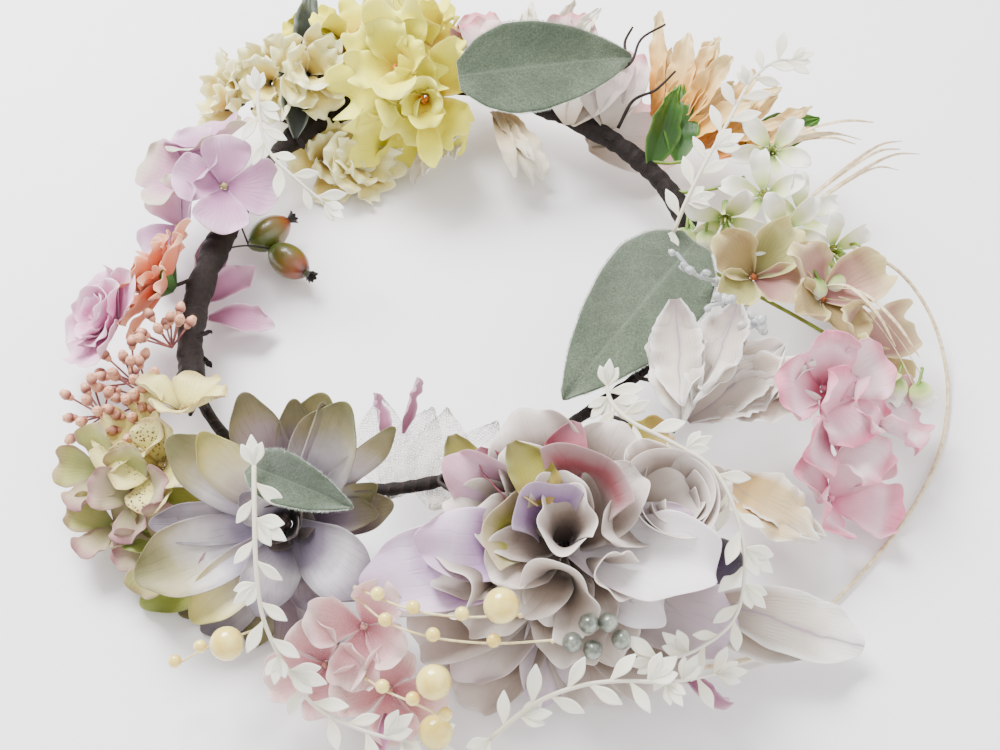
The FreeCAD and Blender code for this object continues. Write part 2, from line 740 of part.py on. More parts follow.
def vine(points):
    """A moulded ivory vine: a thin stem with leaves left and right of each bend."""
    stem = tube(points, size("vine_radius"))
    leaf = leaf_outline(size("vine_leaf_length"), size("vine_leaf_width"), size("leaf_thickness"))
    leaves = []
    for index in range(1, len(points)):
        step = points[index] - points[index - 1]
        heading = math.degrees(math.atan2(step.y, step.x))
        climb = math.degrees(math.asin(step.z / step.Length))
        for side, share in ((38, 0.35), (-38, 0.8)):
            foot = points[index - 1] + step * share
            leaves.append(leaf.transformed(blade_place(foot, heading + side, climb, 0).toMatrix()))
    return [stem] + leaves


def make_vines():
    """Four long vines and one short sprig, draped over the flowers."""
    left = (
        spot(247, 128, 44), spot(250, 142, 42), spot(252, 154, 36), spot(254, 165, 26),
        spot(257, 173, 14), spot(260, 178, 4), spot(265, 181, -2), spot(270, 182, -6),
    )
    right = (
        spot(312, 86, 12), spot(306, 98, 24), spot(304, 112, 32), spot(306, 126, 34), spot(308, 140, 32),
        spot(307, 154, 27), spot(305, 166, 18), spot(302, 174, 6), spot(297, 176, 4), spot(293, 176, 8),
    )
    bottom = (
        spot(276, 184, 0), spot(280, 180, 10), spot(284, 179, 14), spot(288, 180, 13), spot(293, 183, 7),
        spot(298, 184, 0),
    )
    sprig = (spot(140, 88, 34), spot(147, 78, 33), spot(154, 68, 29), spot(158, 56, 25), spot(160, 44, 18))
    back = (
        spot(2, 84, 16), spot(8, 90, 24), spot(15, 100, 30), spot(22, 114, 34), spot(28, 130, 35),
        spot(31, 146, 32), spot(32, 158, 26),
    )
    feature("ivory_vine_left", vine(left))
    feature("ivory_vines_right", vine(right) + vine(bottom))
    feature("ivory_sprig", vine(sprig))
    feature("ivory_vine_back", vine(back))


# ---------------------------------------------------------------- right side


def make_right_side():
    """Feathered dried petals, pink and olive hydrangea florets and crystal sprigs."""
    feather = blade("feather")
    seats = (
        (spot(314, 108, 10), 56, 16, -20), (spot(318, 112, 8), 36, 12, 0), (spot(322, 110, 8), 10, 10, 10),
        (spot(310, 112, 12), 80, 20, -10), (spot(316, 130, 0), 330, -8, 0),
    )
    feature("white_feathers", copies(feather, [blade_place(*seat) for seat in seats]))
    pink = petal_layer("right_pink_floret")
    seats = (
        (spot(334, 144, 10), 34, 300, 0), (spot(330, 152, 2), 44, 330, 20),
        (spot(326, 160, -16), 40, 330, 40), (spot(336, 158, -2), 48, 0, 0),
    )
    feature("pink_hydrangea_right", copies(pink, [flower_place(*seat) for seat in seats]))
    olive = petal_layer("olive_floret")
    seats = (
        (spot(353, 112, 10), 26, 290, 20), (spot(350, 136, 10), 28, 320, 0),
        (spot(346, 152, -2), 46, 340, 20), (spot(356, 140, -14), 40, 20, 0),
    )
    feature("olive_hydrangea", copies(olive, [flower_place(*seat) for seat in seats]))
    sprigs = (
        (spot(350, 100, 12), spot(346, 92, 20), spot(350, 84, 24)),
        (spot(344, 108, 12), spot(340, 104, 22), spot(336, 100, 26)),
        (spot(340, 118, 12), spot(338, 116, 20), spot(334, 114, 26)),
    )
    feature("crystal_sprigs", [tube(list(points), size("stem_radius")) for points in sprigs])


def make_trumpet_template():
    """A waxy flower: a narrow tube that opens into a five-lobed star."""
    star = petal_layer("star_floret")
    length = size("star_tube_length")
    throat = Part.makeCone(size("star_tube_foot"), size("star_tube_throat"), length, V(0, 0, -length))
    return star.Shape.fuse(throat)


def make_bell_template():
    """A round bell with a small open mouth, hanging along -Z from the origin."""
    reach = size("bell_reach")
    depth = size("bell_depth")
    wall = size("fabric")
    outside = Part.makeSphere(reach, V(0, 0, -reach))
    inside = Part.makeSphere(reach - wall, V(0, 0, -reach))
    shell = outside.cut(inside)
    mouth = Part.makeCylinder(reach * 0.78, depth, V(0, 0, -depth - reach * 1.45))
    return shell.cut(mouth)


def make_lilies():
    """Waxy stars and small bells on hooked green stems."""
    trumpet = make_trumpet_template()
    seats = (
        (spot(17, 127, 24), 34, 250, 0), (spot(4, 103, 14), 80, 262, 20), (spot(10, 118, 18), 40, 220, 30),
        (spot(359, 124, 22), 46, 280, 10), (spot(5, 132, 18), 30, 300, 50), (spot(357, 142, 16), 56, 300, 0),
    )
    feature("waxy_stars", [trumpet.transformed(flower_place(*seat).toMatrix()) for seat in seats])
    bell = make_bell_template()
    hooks = []
    bells = []
    rows = ((spot(9, 106, 8), 262, 3), (spot(0, 146, 12), 300, 4), (spot(345, 174, -2), 250, 5))
    for start, heading, count in rows:
        turn = math.radians(heading)
        for number in range(count):
            step = 7.0 * number
            side = V(step * math.sin(turn), -step * math.cos(turn), 0)
            out = V(math.cos(turn), math.sin(turn), 0)
            foot = start + side
            crest = foot + out * 5 + V(0, 0, 6)
            hang = foot + out * 11 + V(0, 0, 3)
            hooks.append(tube([foot, crest, hang], size("stem_radius") * 0.8))
            bells.append(bell.transformed(flower_place(hang, 12, heading, 0).toMatrix()))
    feature("lily_bells", bells)
    return hooks


def make_raffia():
    """Short raffia curls, and the long loose raffia loop that runs round the right side."""
    curls = (
        (spot(352, 134, 8), spot(350, 146, 14), spot(346, 158, 12), spot(343, 168, 4)),
        (spot(8, 130, 8), spot(10, 148, 20), spot(12, 164, 24), spot(13, 176, 20)),
        (spot(20, 128, 8), spot(20, 142, 16), spot(18, 156, 20), spot(17, 168, 16)),
    )
    feature("raffia_curls", [tube(list(points), size("stem_radius")) for points in curls])
    start_up = size("loop_start_up")
    laid = size("loop_laid_up")
    route = [
        spot(3, 148, start_up), spot(1, 162, 2), spot(359, 174, -7), spot(355, 183, -16),
        spot(348, 188, laid), spot(339, 188, laid), spot(330, 185, laid), spot(321, 182, laid),
        spot(312, 181, laid), spot(305, 179, laid), spot(300, 172, laid),
    ]
    loop = tube(route, size("loop_radius"))
    feature("raffia_loop", [loop])
    path = rounded_path(route)
    radii = [round(edge.Curve.Radius, 1) for edge in path.Edges if hasattr(edge.Curve, "Radius")]
    section = math.pi * size("loop_radius") ** 2
    print("raffia loop: length", round(path.Length, 1), "radii", radii)
    print("raffia loop: volume", round(loop.Volume, 1), "against", round(section * path.Length, 1))


# ---------------------------------------------------------------- build, check, write


def check_and_write():
    """Stop on any failed object or bad solid, then write each sub-part's file."""
    doc.recompute()
    for item in doc.Objects:
        if "Invalid" in item.State or "Error" in item.State:
            raise RuntimeError("failed object: " + item.Name)
    for node in NODES:
        shape = node.Shape
        if shape.isNull() or not shape.isValid() or not shape.Solids:
            raise RuntimeError("bad shape: " + node.Label)
    os.makedirs("parts", exist_ok=True)
    for node in NODES:
        node.Shape.exportStep("parts/" + node.Label + ".step")
    print(len(NODES), "sub-parts written")


make_ring()
green_stems = make_stems()
make_yellow_group()
cream_calyxes = make_cream_group()
make_blush_group()
make_velvet_leaves()
small_calyx, coral_back = make_left_pinks()
make_rosehips()
make_umbels()
make_left_sepals()
make_dahlia()
rose_back = make_rose(small_calyx)
make_front_trim()
make_pearls()
make_vines()
make_right_side()
green_stems += make_lilies()
make_raffia()
feature("green_stems", green_stems)
feature("calyxes", cream_calyxes + copies(small_calyx, [coral_back, rose_back]))
check_and_write()
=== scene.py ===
import math

import bmesh
import bpy
import numpy as np
from mathutils import Matrix, Vector


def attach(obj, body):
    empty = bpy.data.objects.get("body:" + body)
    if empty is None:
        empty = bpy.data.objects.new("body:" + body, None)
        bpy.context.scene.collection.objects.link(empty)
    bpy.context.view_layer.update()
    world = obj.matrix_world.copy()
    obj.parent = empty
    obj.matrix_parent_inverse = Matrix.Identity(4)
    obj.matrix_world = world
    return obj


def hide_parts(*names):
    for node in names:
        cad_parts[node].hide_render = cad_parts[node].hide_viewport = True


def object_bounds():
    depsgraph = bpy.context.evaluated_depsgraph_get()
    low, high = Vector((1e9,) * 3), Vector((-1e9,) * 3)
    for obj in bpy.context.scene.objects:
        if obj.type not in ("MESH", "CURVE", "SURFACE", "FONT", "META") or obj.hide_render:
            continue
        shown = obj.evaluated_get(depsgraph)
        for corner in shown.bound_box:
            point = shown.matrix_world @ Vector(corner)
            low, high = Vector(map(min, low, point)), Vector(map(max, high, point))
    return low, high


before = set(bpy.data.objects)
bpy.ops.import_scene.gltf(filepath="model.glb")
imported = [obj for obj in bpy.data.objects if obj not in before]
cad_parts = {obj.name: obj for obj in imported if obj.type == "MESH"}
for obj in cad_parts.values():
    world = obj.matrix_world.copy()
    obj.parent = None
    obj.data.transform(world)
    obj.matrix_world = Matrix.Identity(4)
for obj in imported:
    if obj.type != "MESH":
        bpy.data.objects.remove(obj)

MM = 0.001
CAD_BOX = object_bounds()
ROOT = "root"

# ---------------------------------------------------------------- places in the frame


def spot(angle, radius, up):
    """A point in metres, by compass angle and distance in mm from the head opening's middle."""
    turn = math.radians(angle)
    return Vector((radius * math.cos(turn), radius * math.sin(turn), up)) * MM


def ring_radius(angle):
    """The ring's own radius in mm at a compass angle, as the frame's wire has it."""
    oval = math.radians(2 * (angle - 59))
    corner = math.radians(3 * (angle + 5))
    return 92 + 6.7 * math.cos(oval) + 4.8 * math.cos(corner)


def loose_parts(node):
    """The vertex arrays of a CAD node's separate solids, sorted by where they lie."""
    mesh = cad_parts[node].data
    points = np.empty(len(mesh.vertices) * 3)
    mesh.vertices.foreach_get("co", points)
    points = points.reshape(-1, 3)
    parent = list(range(len(points)))

    def root(index):
        while parent[index] != index:
            parent[index] = parent[parent[index]]
            index = parent[index]
        return index

    seen = {}
    for index, point in enumerate(np.round(points, 6)):
        key = tuple(point)
        if key in seen:
            parent[root(index)] = root(seen[key])
        else:
            seen[key] = index
    for edge in mesh.edges:
        a, b = edge.vertices
        parent[root(a)] = root(b)
    groups = {}
    for index in range(len(points)):
        groups.setdefault(root(index), []).append(index)
    parts = [points[group] for group in groups.values()]
    parts.sort(key=lambda part: tuple(np.round(part.mean(0), 4)))
    return parts


def axes_to_matrix(origin, x_axis, z_axis):
    """A seat at a point, its Z along one way and its X as near as it can be to another."""
    z_axis = Vector(z_axis).normalized()
    x_axis = Vector(x_axis)
    x_axis = (x_axis - z_axis * x_axis.dot(z_axis)).normalized()
    y_axis = z_axis.cross(x_axis)
    made = Matrix((x_axis, y_axis, z_axis)).transposed().to_4x4()
    made.translation = Vector(origin)
    return made


def cup_seat(part):
    """Hub, axis and reach of a die-cut petal layer, read from its CAD solid."""
    middle = part.mean(0)
    spread, ways = np.linalg.eigh(np.cov((part - middle).T))
    pairs = [abs(spread[1] - spread[2]), abs(spread[0] - spread[2]), abs(spread[0] - spread[1])]
    axis = ways[:, int(np.argmin(pairs))]
    along = (part - middle) @ axis
    away = part - middle - np.outer(along, axis)
    far = np.linalg.norm(away, axis=1)
    hub_along = along[far < 0.2 * far.max() + 1e-9]
    low = hub_along.mean() if len(hub_along) else along[np.argmin(far)]
    if low > 0:
        axis = -axis
        low = -low
    tip = away[np.argmax(far)]
    return axes_to_matrix(middle + axis * low, tip, axis), far.max()


def blade_seat(part):
    """Seat at the base, length and width of a single petal or leaf, read from its CAD solid."""
    middle = part.mean(0)
    ways = np.linalg.eigh(np.cov((part - middle).T))[1]
    length_way = ways[:, 2]
    face = ways[:, 0]
    along = (part - middle) @ length_way
    ends = [part[np.argmin(along)], part[np.argmax(along)]]
    gaps = []
    for end in ends:
        angle = math.degrees(math.atan2(end[1], end[0]))
        gaps.append(abs(math.hypot(end[0], end[1]) / MM - ring_radius(angle)))
    base, tip = (ends[0], ends[1]) if gaps[0] <= gaps[1] else (ends[1], ends[0])
    if face[2] < 0:
        face = -face
    width = np.ptp((part - middle) @ ways[:, 1])
    return axes_to_matrix(base, tip - base, face), np.linalg.norm(tip - base), width


def cup_seats(node):
    """Seat and reach of every petal layer of a CAD node."""
    return [cup_seat(part) for part in loose_parts(node)]


def blade_seats(node):
    """Seat, length and width of every single petal of a CAD node."""
    return [blade_seat(part) for part in loose_parts(node)]


def part_balls(node):
    """Centre and radius of every ball of a CAD node."""
    return [(Vector(part.mean(0)), np.ptp(part, axis=0).max() / 2) for part in loose_parts(node)]


# ---------------------------------------------------------------- petal shapes

# Petal outlines: share of the length from the base, and share of the full width there.
OUTLINES = {
    "spoon": ((0, 0.3), (0.2, 0.6), (0.42, 0.92), (0.62, 1.0), (0.8, 0.94), (0.92, 0.74), (1, 0.42)),
    "round": ((0, 0.18), (0.15, 0.55), (0.4, 0.92), (0.6, 1.0), (0.8, 0.92), (0.93, 0.72), (1, 0.5)),
    "fan": ((0, 0.14), (0.15, 0.4), (0.4, 0.78), (0.65, 1.0), (0.82, 0.98), (0.94, 0.82), (1, 0.62)),
    "point": ((0, 0.2), (0.2, 0.66), (0.42, 1.0), (0.62, 0.92), (0.8, 0.62), (0.93, 0.26), (1, 0.05)),
    "leaf": ((0, 0.08), (0.12, 0.55), (0.32, 0.96), (0.5, 1.0), (0.7, 0.82), (0.88, 0.42), (1, 0.06)),
    "lance": ((0, 0.3), (0.25, 0.8), (0.5, 1.0), (0.75, 0.72), (0.92, 0.3), (1, 0.05)),
    "strap": ((0, 0.6), (0.3, 0.9), (0.6, 1.0), (0.85, 0.8), (1, 0.3)),
    "vine": ((0, 0.14), (0.16, 0.2), (0.32, 0.7), (0.55, 1.0), (0.75, 0.78), (0.9, 0.38), (1, 0.04)),
    "velvet": ((0, 0.3), (0.12, 0.76), (0.28, 1.0), (0.45, 0.97), (0.65, 0.78), (0.82, 0.5), (0.94, 0.24),
               (1, 0.08)),
    "tulip": ((0, 0.25), (0.2, 0.85), (0.45, 1.0), (0.7, 0.9), (0.9, 0.62), (1, 0.42)),
}


def petal_grid(rng, length, width, shape="round", curve=0, tip_curl=0, cup=0.0, ruffle=0.0,
               waves=2.0, fold=0.0, twist=0, skew=0.0, ragged=0.0, rows=15, cols=9):
    """Points of one petal: base at the origin, length along +X, face up +Z. Angles in degrees."""
    t = np.linspace(0, 1, rows)
    s = np.linspace(-1, 1, cols)
    knots = np.array(OUTLINES[shape])
    half = np.interp(t, knots[:, 0], knots[:, 1])
    half = np.convolve(np.pad(half, 1, mode="edge"), [0.2, 0.6, 0.2], mode="valid") * width / 2
    half = half * (1 - ragged * rng.uniform(0, 1, rows))
    late = np.clip((t - 0.6) / 0.4, 0, 1) ** 1.5
    lean = np.radians(curve) * t + np.radians(tip_curl) * late
    step = length / (rows - 1)
    x = np.concatenate([[0], np.cumsum(np.cos(lean[:-1]) * step)])
    z = np.concatenate([[0], np.cumsum(np.sin(lean[:-1]) * step)])
    along = np.stack([np.cos(lean), np.zeros(rows), np.sin(lean)], 1)
    face = np.stack([-np.sin(lean), np.zeros(rows), np.cos(lean)], 1)
    centre = np.stack([x, skew * width * t ** 2, z], 1)
    turn = np.radians(twist) * t
    side = np.array([0, 1.0, 0])
    across = np.cos(turn)[:, None] * side + np.sin(turn)[:, None] * face
    normal = np.cos(turn)[:, None] * face - np.sin(turn)[:, None] * side
    phases = rng.uniform(0, 2 * math.pi, 4)
    grid_t = t[:, None]
    grid_s = s[None, :]
    edge = np.abs(grid_s) ** 1.6
    left = np.where(grid_s < 0, phases[0], phases[1])
    ripple = edge * grid_t ** 0.7 * np.sin(2 * math.pi * waves * grid_t + left)
    ripple += 0.6 * edge * grid_t * np.sin(2 * math.pi * waves * 2.3 * grid_t + left * 1.7)
    ripple += 0.8 * grid_t ** 3 * np.sin(math.pi * waves * grid_s + phases[2])
    lift = cup * half[:, None] * grid_s ** 2 + fold * half[:, None] * np.abs(grid_s) + ruffle * ripple
    narrow = 1.0 / np.sqrt(1 + (1.2 * cup * grid_s) ** 2)
    spread = half[:, None] * grid_s * narrow
    round_off = -0.2 * length * (half[-1] / half.max()) * grid_s ** 2 * grid_t ** 5
    points = centre[:, None, :] + spread[..., None] * across[:, None, :]
    points = points + lift[..., None] * normal[:, None, :] + round_off[..., None] * along[:, None, :]
    return points


def rolled_grid(rng, foot, mouth, height, sweep=360, ruffle=0.0, waves=3, spiral=0.15, flare=1.6,
                rows=13, cols=33):
    """A petal rolled into a trumpet about +Z, wider at its mouth, with a frilled rim."""
    h = np.linspace(0, 1, rows)[:, None]
    turn = np.radians(np.linspace(0, sweep, cols))[None, :]
    phase = rng.uniform(0, 2 * math.pi)
    radius = foot + (mouth - foot) * h ** flare
    radius = radius * (1 + spiral * turn / turn.max())
    frill = np.sin(waves * turn + phase) + 0.5 * np.sin(2.3 * waves * turn + 2 * phase)
    radius = radius + ruffle * 0.8 * h ** 3 * frill
    up = height * h + ruffle * h ** 2 * np.cos(waves * turn * 1.1 + phase)
    return np.stack([radius * np.cos(turn), radius * np.sin(turn), up + 0 * turn], -1)


def bell_grid(rng, radius, height, lobes=6, rows=17, cols=37):
    """A round lily bell hanging along +Z, with a small out-turned scalloped rim."""
    h = np.linspace(0, 1, rows)[:, None]
    turn = np.linspace(0, 2 * math.pi, cols)[None, :]
    swell = np.interp(h, (0, 0.05, 0.15, 0.35, 0.55, 0.75, 0.88, 1),
                      (0.01, 0.4, 0.72, 0.97, 1.0, 0.86, 0.84, 1.12))
    lobe = np.cos(lobes * turn + rng.uniform(0, 6))
    away = radius * swell * (1 + 0.12 * h ** 8 * lobe)
    down = height * (h + 0.08 * h ** 6 * lobe)
    return np.stack([away * np.cos(turn), away * np.sin(turn), down + 0 * turn], -1)


def rest_on_table(points, thickness):
    """Petals that would dip under the table bend softly and lie on it."""
    table = CAD_BOX[0][2] + thickness
    soft = 4 * MM
    above = points[:, 2] - table
    low = above < soft
    points[low, 2] = table + soft * np.exp((above[low] - soft) / soft)
    return points


class Sheet:
    """Collects petal grids, in metres, into one mesh with UVs and a tone per petal."""

    def __init__(self):
        self.points = []
        self.faces = []
        self.uvs = []
        self.tones = []
        self.count = 0

    def add(self, grid, matrix, tone=0.5):
        """Lay one petal at its seat; its tone picks the dye and its depth."""
        rows, cols = grid.shape[:2]
        flat = grid.reshape(-1, 3)
        turned = flat @ np.array(matrix.to_3x3()).T + np.array(matrix.translation)
        self.points.append(turned)
        t, s = np.meshgrid(np.linspace(0, 1, rows), np.linspace(0, 1, cols), indexing="ij")
        index = np.arange(rows * cols).reshape(rows, cols) + self.count
        quads = np.stack([index[:-1, :-1], index[1:, :-1], index[1:, 1:], index[:-1, 1:]], -1).reshape(-1, 4)
        self.faces.append(quads)
        self.uvs.append(np.stack([t.ravel(), s.ravel()], 1))
        self.tones.append(np.full(rows * cols, tone))
        self.count += rows * cols

    def build(self, name, material, thickness=0.3):
        """One piece of cloth, its thickness in mm, from every petal that was added."""
        points = rest_on_table(np.concatenate(self.points), thickness * MM)
        faces = np.concatenate(self.faces)
        uvs = np.concatenate(self.uvs)
        mesh = bpy.data.meshes.new(name)
        mesh.from_pydata(points.tolist(), [], faces.tolist())
        layer = mesh.uv_layers.new(name="UVMap")
        layer.data.foreach_set("uv", uvs[faces.ravel()].ravel())
        tone = mesh.attributes.new("tone", "FLOAT", "POINT")
        tone.data.foreach_set("value", np.concatenate(self.tones))
        mesh.shade_smooth()
        piece = linked(name, mesh, material)
        shell = piece.modifiers.new("thickness", "SOLIDIFY")
        shell.thickness = thickness * MM
        shell.offset = 0
        subdivide(piece)
        return piece

    def finish(self, name, material, thickness, slot, *nodes):
        """Build the cloth and put it in place of the CAD nodes; its slot is not used."""
        finish_piece(self.build(name, material, thickness), slot, *nodes)


def linked(name, mesh, material):
    """A new object of the scene with one material."""
    mesh.materials.append(material)
    piece = bpy.data.objects.new(name, mesh)
    bpy.context.scene.collection.objects.link(piece)
    return piece


def from_bmesh(name, bm, material, smooth=True):
    """A new object of the scene from the mesh being edited."""
    mesh = bpy.data.meshes.new(name)
    bm.to_mesh(mesh)
    bm.free()
    if smooth:
        mesh.shade_smooth()
    return linked(name, mesh, material)


def subdivide(piece):
    """Smooth a piece's facets away."""
    soft = piece.modifiers.new("smooth", "SUBSURF")
    soft.levels = 1
    soft.render_levels = 1


def reskin(node, material):
    """Give a CAD node that is kept in the looks its real material."""
    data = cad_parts[node].data
    data.materials.clear()
    data.materials.append(material)


def finish_piece(piece, slot, *nodes):
    """Every visual piece rides the one body and may stand for CAD nodes; its slot is not used."""
    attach(piece, ROOT)
    if nodes:
        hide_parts(*nodes)
    return piece


def turn_about(matrix, azimuth, tilt, out=0.0, up=0.0, roll=0.0):
    """A petal's seat in a bloom: turned about the axis, moved out and up, and tilted up."""
    made = matrix @ Matrix.Rotation(math.radians(azimuth), 4, "Z")
    made = made @ Matrix.Translation((out, 0, up))
    made = made @ Matrix.Rotation(-math.radians(tilt), 4, "Y")
    return made @ Matrix.Rotation(math.radians(roll), 4, "X")


def whorl(sheet, rng, seat, count, length, width, tilt, out=0.001, up=0.0, spin=0, jitter=6, dyes=1,
          first_dye=0, uneven=0.08, **style):
    """A ring of petals round a bloom's axis, each a little different and dyed at random."""
    for index in range(count):
        azimuth = spin + 360 * index / count + rng.uniform(-jitter, jitter)
        size = rng.uniform(1 - uneven, 1 + uneven)
        petal = petal_grid(rng, length * size, width * size, skew=rng.uniform(-0.05, 0.05), **style)
        lean = tilt + rng.uniform(-jitter, jitter) * 0.7
        place = turn_about(seat, azimuth, lean, out, up, rng.uniform(-8, 8))
        sheet.add(petal, place, first_dye + rng.integers(dyes) + rng.uniform(0.1, 0.9))


# ---------------------------------------------------------------- materials


def colour(code):
    """A dye's hex colour as shader values, laid deep because the bright studio light washes it out."""
    values = [int(code[index:index + 2], 16) / 255 for index in (0, 2, 4)]
    linear = [v / 12.92 if v <= 0.04045 else ((v + 0.055) / 1.055) ** 2.4 for v in values]
    return (*[0.14 * v + 0.82 * v ** 2.3 for v in linear], 1.0)


def grey(value):
    """A mask value as a shader colour."""
    return (value, value, value, 1)


def dye_stops(words):
    """Ramp stops from "position:hex" words."""
    pairs = [word.split(":") for word in words.split()]
    return [(float(place), colour(code)) for place, code in pairs]


class Nodes:
    """A short way to write a material's nodes."""

    def __init__(self, name):
        self.material = bpy.data.materials.new(name)
        self.material.use_nodes = True
        self.tree = self.material.node_tree
        self.tree.nodes.clear()
        self.output = self.new("ShaderNodeOutputMaterial")
        self.shader = self.new("ShaderNodeBsdfPrincipled")
        self.link(self.shader.outputs[0], self.output.inputs[0])

    def new(self, kind, **settings):
        node = self.tree.nodes.new(kind)
        for key, value in settings.items():
            setattr(node, key, value)
        return node

    def link(self, source, target):
        self.tree.links.new(source, target)

    def put(self, socket, value):
        if isinstance(value, bpy.types.NodeSocket):
            self.link(value, socket)
        else:
            socket.default_value = value

    def math(self, kind, first, second=0.0, third=0.0):
        node = self.new("ShaderNodeMath", operation=kind)
        self.put(node.inputs[0], first)
        self.put(node.inputs[1], second)
        self.put(node.inputs[2], third)
        return node.outputs[0]

    def plus(self, first, second):
        return self.math("ADD", first, second)

    def minus(self, first, second):
        return self.math("SUBTRACT", first, second)

    def times(self, first, second):
        return self.math("MULTIPLY", first, second)

    def mix(self, amount, first, second, blend="MIX"):
        node = self.new("ShaderNodeMix", data_type="RGBA", blend_type=blend)
        self.put(node.inputs[0], amount)
        self.put(node.inputs[6], first)
        self.put(node.inputs[7], second)
        return node.outputs[2]

    def ramp(self, value, stops):
        node = self.new("ShaderNodeValToRGB")
        while len(node.color_ramp.elements) < len(stops):
            node.color_ramp.elements.new(0.5)
        for element, (place, shade) in zip(node.color_ramp.elements, stops):
            element.position = place
            element.color = shade
        self.put(node.inputs[0], value)
        return node.outputs[0]

    def noise(self, scale, detail=3.0, vector=None, rough=0.5):
        node = self.new("ShaderNodeTexNoise")
        node.inputs["Scale"].default_value = scale
        node.inputs["Detail"].default_value = detail
        node.inputs["Roughness"].default_value = rough
        self.put(node.inputs["Vector"], vector if vector is not None else self.place())
        return node.outputs[0]

    def voronoi(self, scale, feature="F1", vector=None):
        node = self.new("ShaderNodeTexVoronoi", feature=feature)
        node.inputs["Scale"].default_value = scale
        self.put(node.inputs["Vector"], vector if vector is not None else self.place())
        return node.outputs[0]

    def place(self):
        if not hasattr(self, "coords"):
            self.coords = self.new("ShaderNodeTexCoord")
        return self.coords.outputs["Object"]

    def uv(self):
        """UV along the petal (0 at its base) and across it (0 and 1 at its edges)."""
        if not hasattr(self, "split"):
            node = self.new("ShaderNodeUVMap", uv_map="UVMap")
            self.split = self.new("ShaderNodeSeparateXYZ")
            self.link(node.outputs[0], self.split.inputs[0])
        return self.split.outputs[0], self.split.outputs[1]

    def tone(self):
        node = self.new("ShaderNodeAttribute", attribute_name="tone")
        return node.outputs["Fac"]

    def bump(self, height, strength=0.3, distance=0.0003):
        node = self.new("ShaderNodeBump")
        node.inputs["Strength"].default_value = strength
        node.inputs["Distance"].default_value = distance
        self.put(node.inputs["Height"], height)
        self.link(node.outputs[0], self.shader.inputs["Normal"])

    def surface(self, base, roughness=0.6, **sockets):
        self.put(self.shader.inputs["Base Color"], base)
        self.put(self.shader.inputs["Roughness"], roughness)
        for key, value in sockets.items():
            self.put(self.shader.inputs[key.replace("_", " ")], value)
        return self.material


def petal_material(name, *dyes, edge=None, edge_amount=0.5, veins=0.25, rough=0.62, glow=0.15,
                   blotch=0.25, sheen=0.2, vein_count=34, sparkle=0.0, specks=None, crease=None):
    """Dyed cloth petal: one dye of the list by its tone, pressed veins, cloudy patches and a soft weave.

    Each dye is written base to tip as "position:hex" words. Where a dye darkens towards its base, that is
    partly the cloth's own colour and partly painted shade where the petals overlap round the hub. A petal's
    tone is its dye's number plus a share that darkens or lightens it.
    """
    n = Nodes(name)
    along, across = n.uv()
    cloud = n.noise(90, 4)
    drift = n.math("MULTIPLY_ADD", n.minus(cloud, 0.5), 0.35, along)
    tone = n.tone()
    shade = None
    # Each dye's darker base stops paint shade near the hub, over the cloth's own colour.
    for number, dye in enumerate(dyes):
        layer = n.ramp(drift, dye_stops(dye))
        shade = n.mix(n.math("GREATER_THAN", tone, float(number)), shade, layer) if number else layer
    depth = n.ramp(n.math("FRACT", tone), [(0.0, (0.78, 0.77, 0.78, 1)), (1.0, grey(1))])
    shade = n.mix(1.0, shade, depth, "MULTIPLY")
    off = n.math("ABSOLUTE", n.minus(across, 0.5))
    if edge:
        rim = n.math("MAXIMUM", n.times(off, 2.0), along)
        rim = n.ramp(n.math("MULTIPLY_ADD", n.minus(cloud, 0.5), 0.25, rim),
                     [(0.72, grey(0)), (0.98, grey(edge_amount))])
        shade = n.mix(rim, shade, colour(edge))
    if crease:
        wander = n.times(n.minus(n.noise(60, 3), 0.5), 0.3)
        bend = n.math("ABSOLUTE", n.plus(n.minus(across, 0.5), wander))
        line = n.ramp(bend, [(0.0, grey(0.75)), (0.03, grey(0.2)), (0.09, grey(0))])
        shade = n.mix(line, shade, colour(crease))
    wavy = n.math("MULTIPLY_ADD", n.noise(70, 3), 0.22, off)
    fan = n.math("DIVIDE", wavy, n.plus(n.times(along, 0.55), 0.5))
    line = n.math("ABSOLUTE", n.math("SINE", n.times(fan, vein_count)))
    vein = n.math("POWER", n.minus(1.0, line), 5.0)
    patchy = n.ramp(n.noise(110, 3), [(0.38, grey(0.1)), (0.62, grey(1))])
    vein = n.times(vein, patchy)
    shade = n.mix(n.times(vein, veins * 0.55), shade, colour("8C7F80"), "MULTIPLY")
    wash = n.ramp(n.noise(38, 5), [(0.35, grey(1 - blotch * 0.5)), (0.65, grey(1.0))])
    shade = n.mix(0.8, shade, wash, "MULTIPLY")
    if specks:
        dots = n.ramp(n.voronoi(900), [(0.22, grey(1)), (0.42, grey(0))])
        patch = n.ramp(n.noise(60, 2), [(0.46, grey(0)), (0.6, grey(1))])
        shade = n.mix(n.times(dots, patch), shade, colour(specks))
    weave = n.plus(n.math("SINE", n.times(across, 420.0)), n.math("SINE", n.times(along, 620.0)))
    height = n.math("MULTIPLY_ADD", weave, 0.05, n.times(vein, -1.0))
    height = n.plus(height, n.times(n.noise(260, 3), 0.5))
    rough_socket = rough
    if sparkle:
        flake = n.ramp(n.voronoi(2600), [(0.12, grey(1)), (0.2, grey(0))])
        shade = n.mix(n.times(flake, sparkle), shade, grey(1))
        rough_socket = n.minus(rough, n.times(flake, 0.45))
        height = n.plus(height, n.times(flake, 1.5))
    n.bump(height, 0.35)
    return n.surface(shade, rough_socket, Subsurface_Weight=glow, Subsurface_Radius=(1.0, 0.7, 0.6),
                     Subsurface_Scale=0.0015, Sheen_Weight=sheen, Specular_IOR_Level=0.3)


def solid_material(name, main, second, scale=120, rough=0.5, bump=0.3, **sockets):
    """Two cloudy shades with a fine bump."""
    n = Nodes(name)
    shade = n.ramp(n.noise(scale, 4), [(0.35, colour(main)), (0.68, colour(second))])
    n.bump(n.noise(scale * 4, 3), bump)
    return n.surface(shade, rough, **sockets)


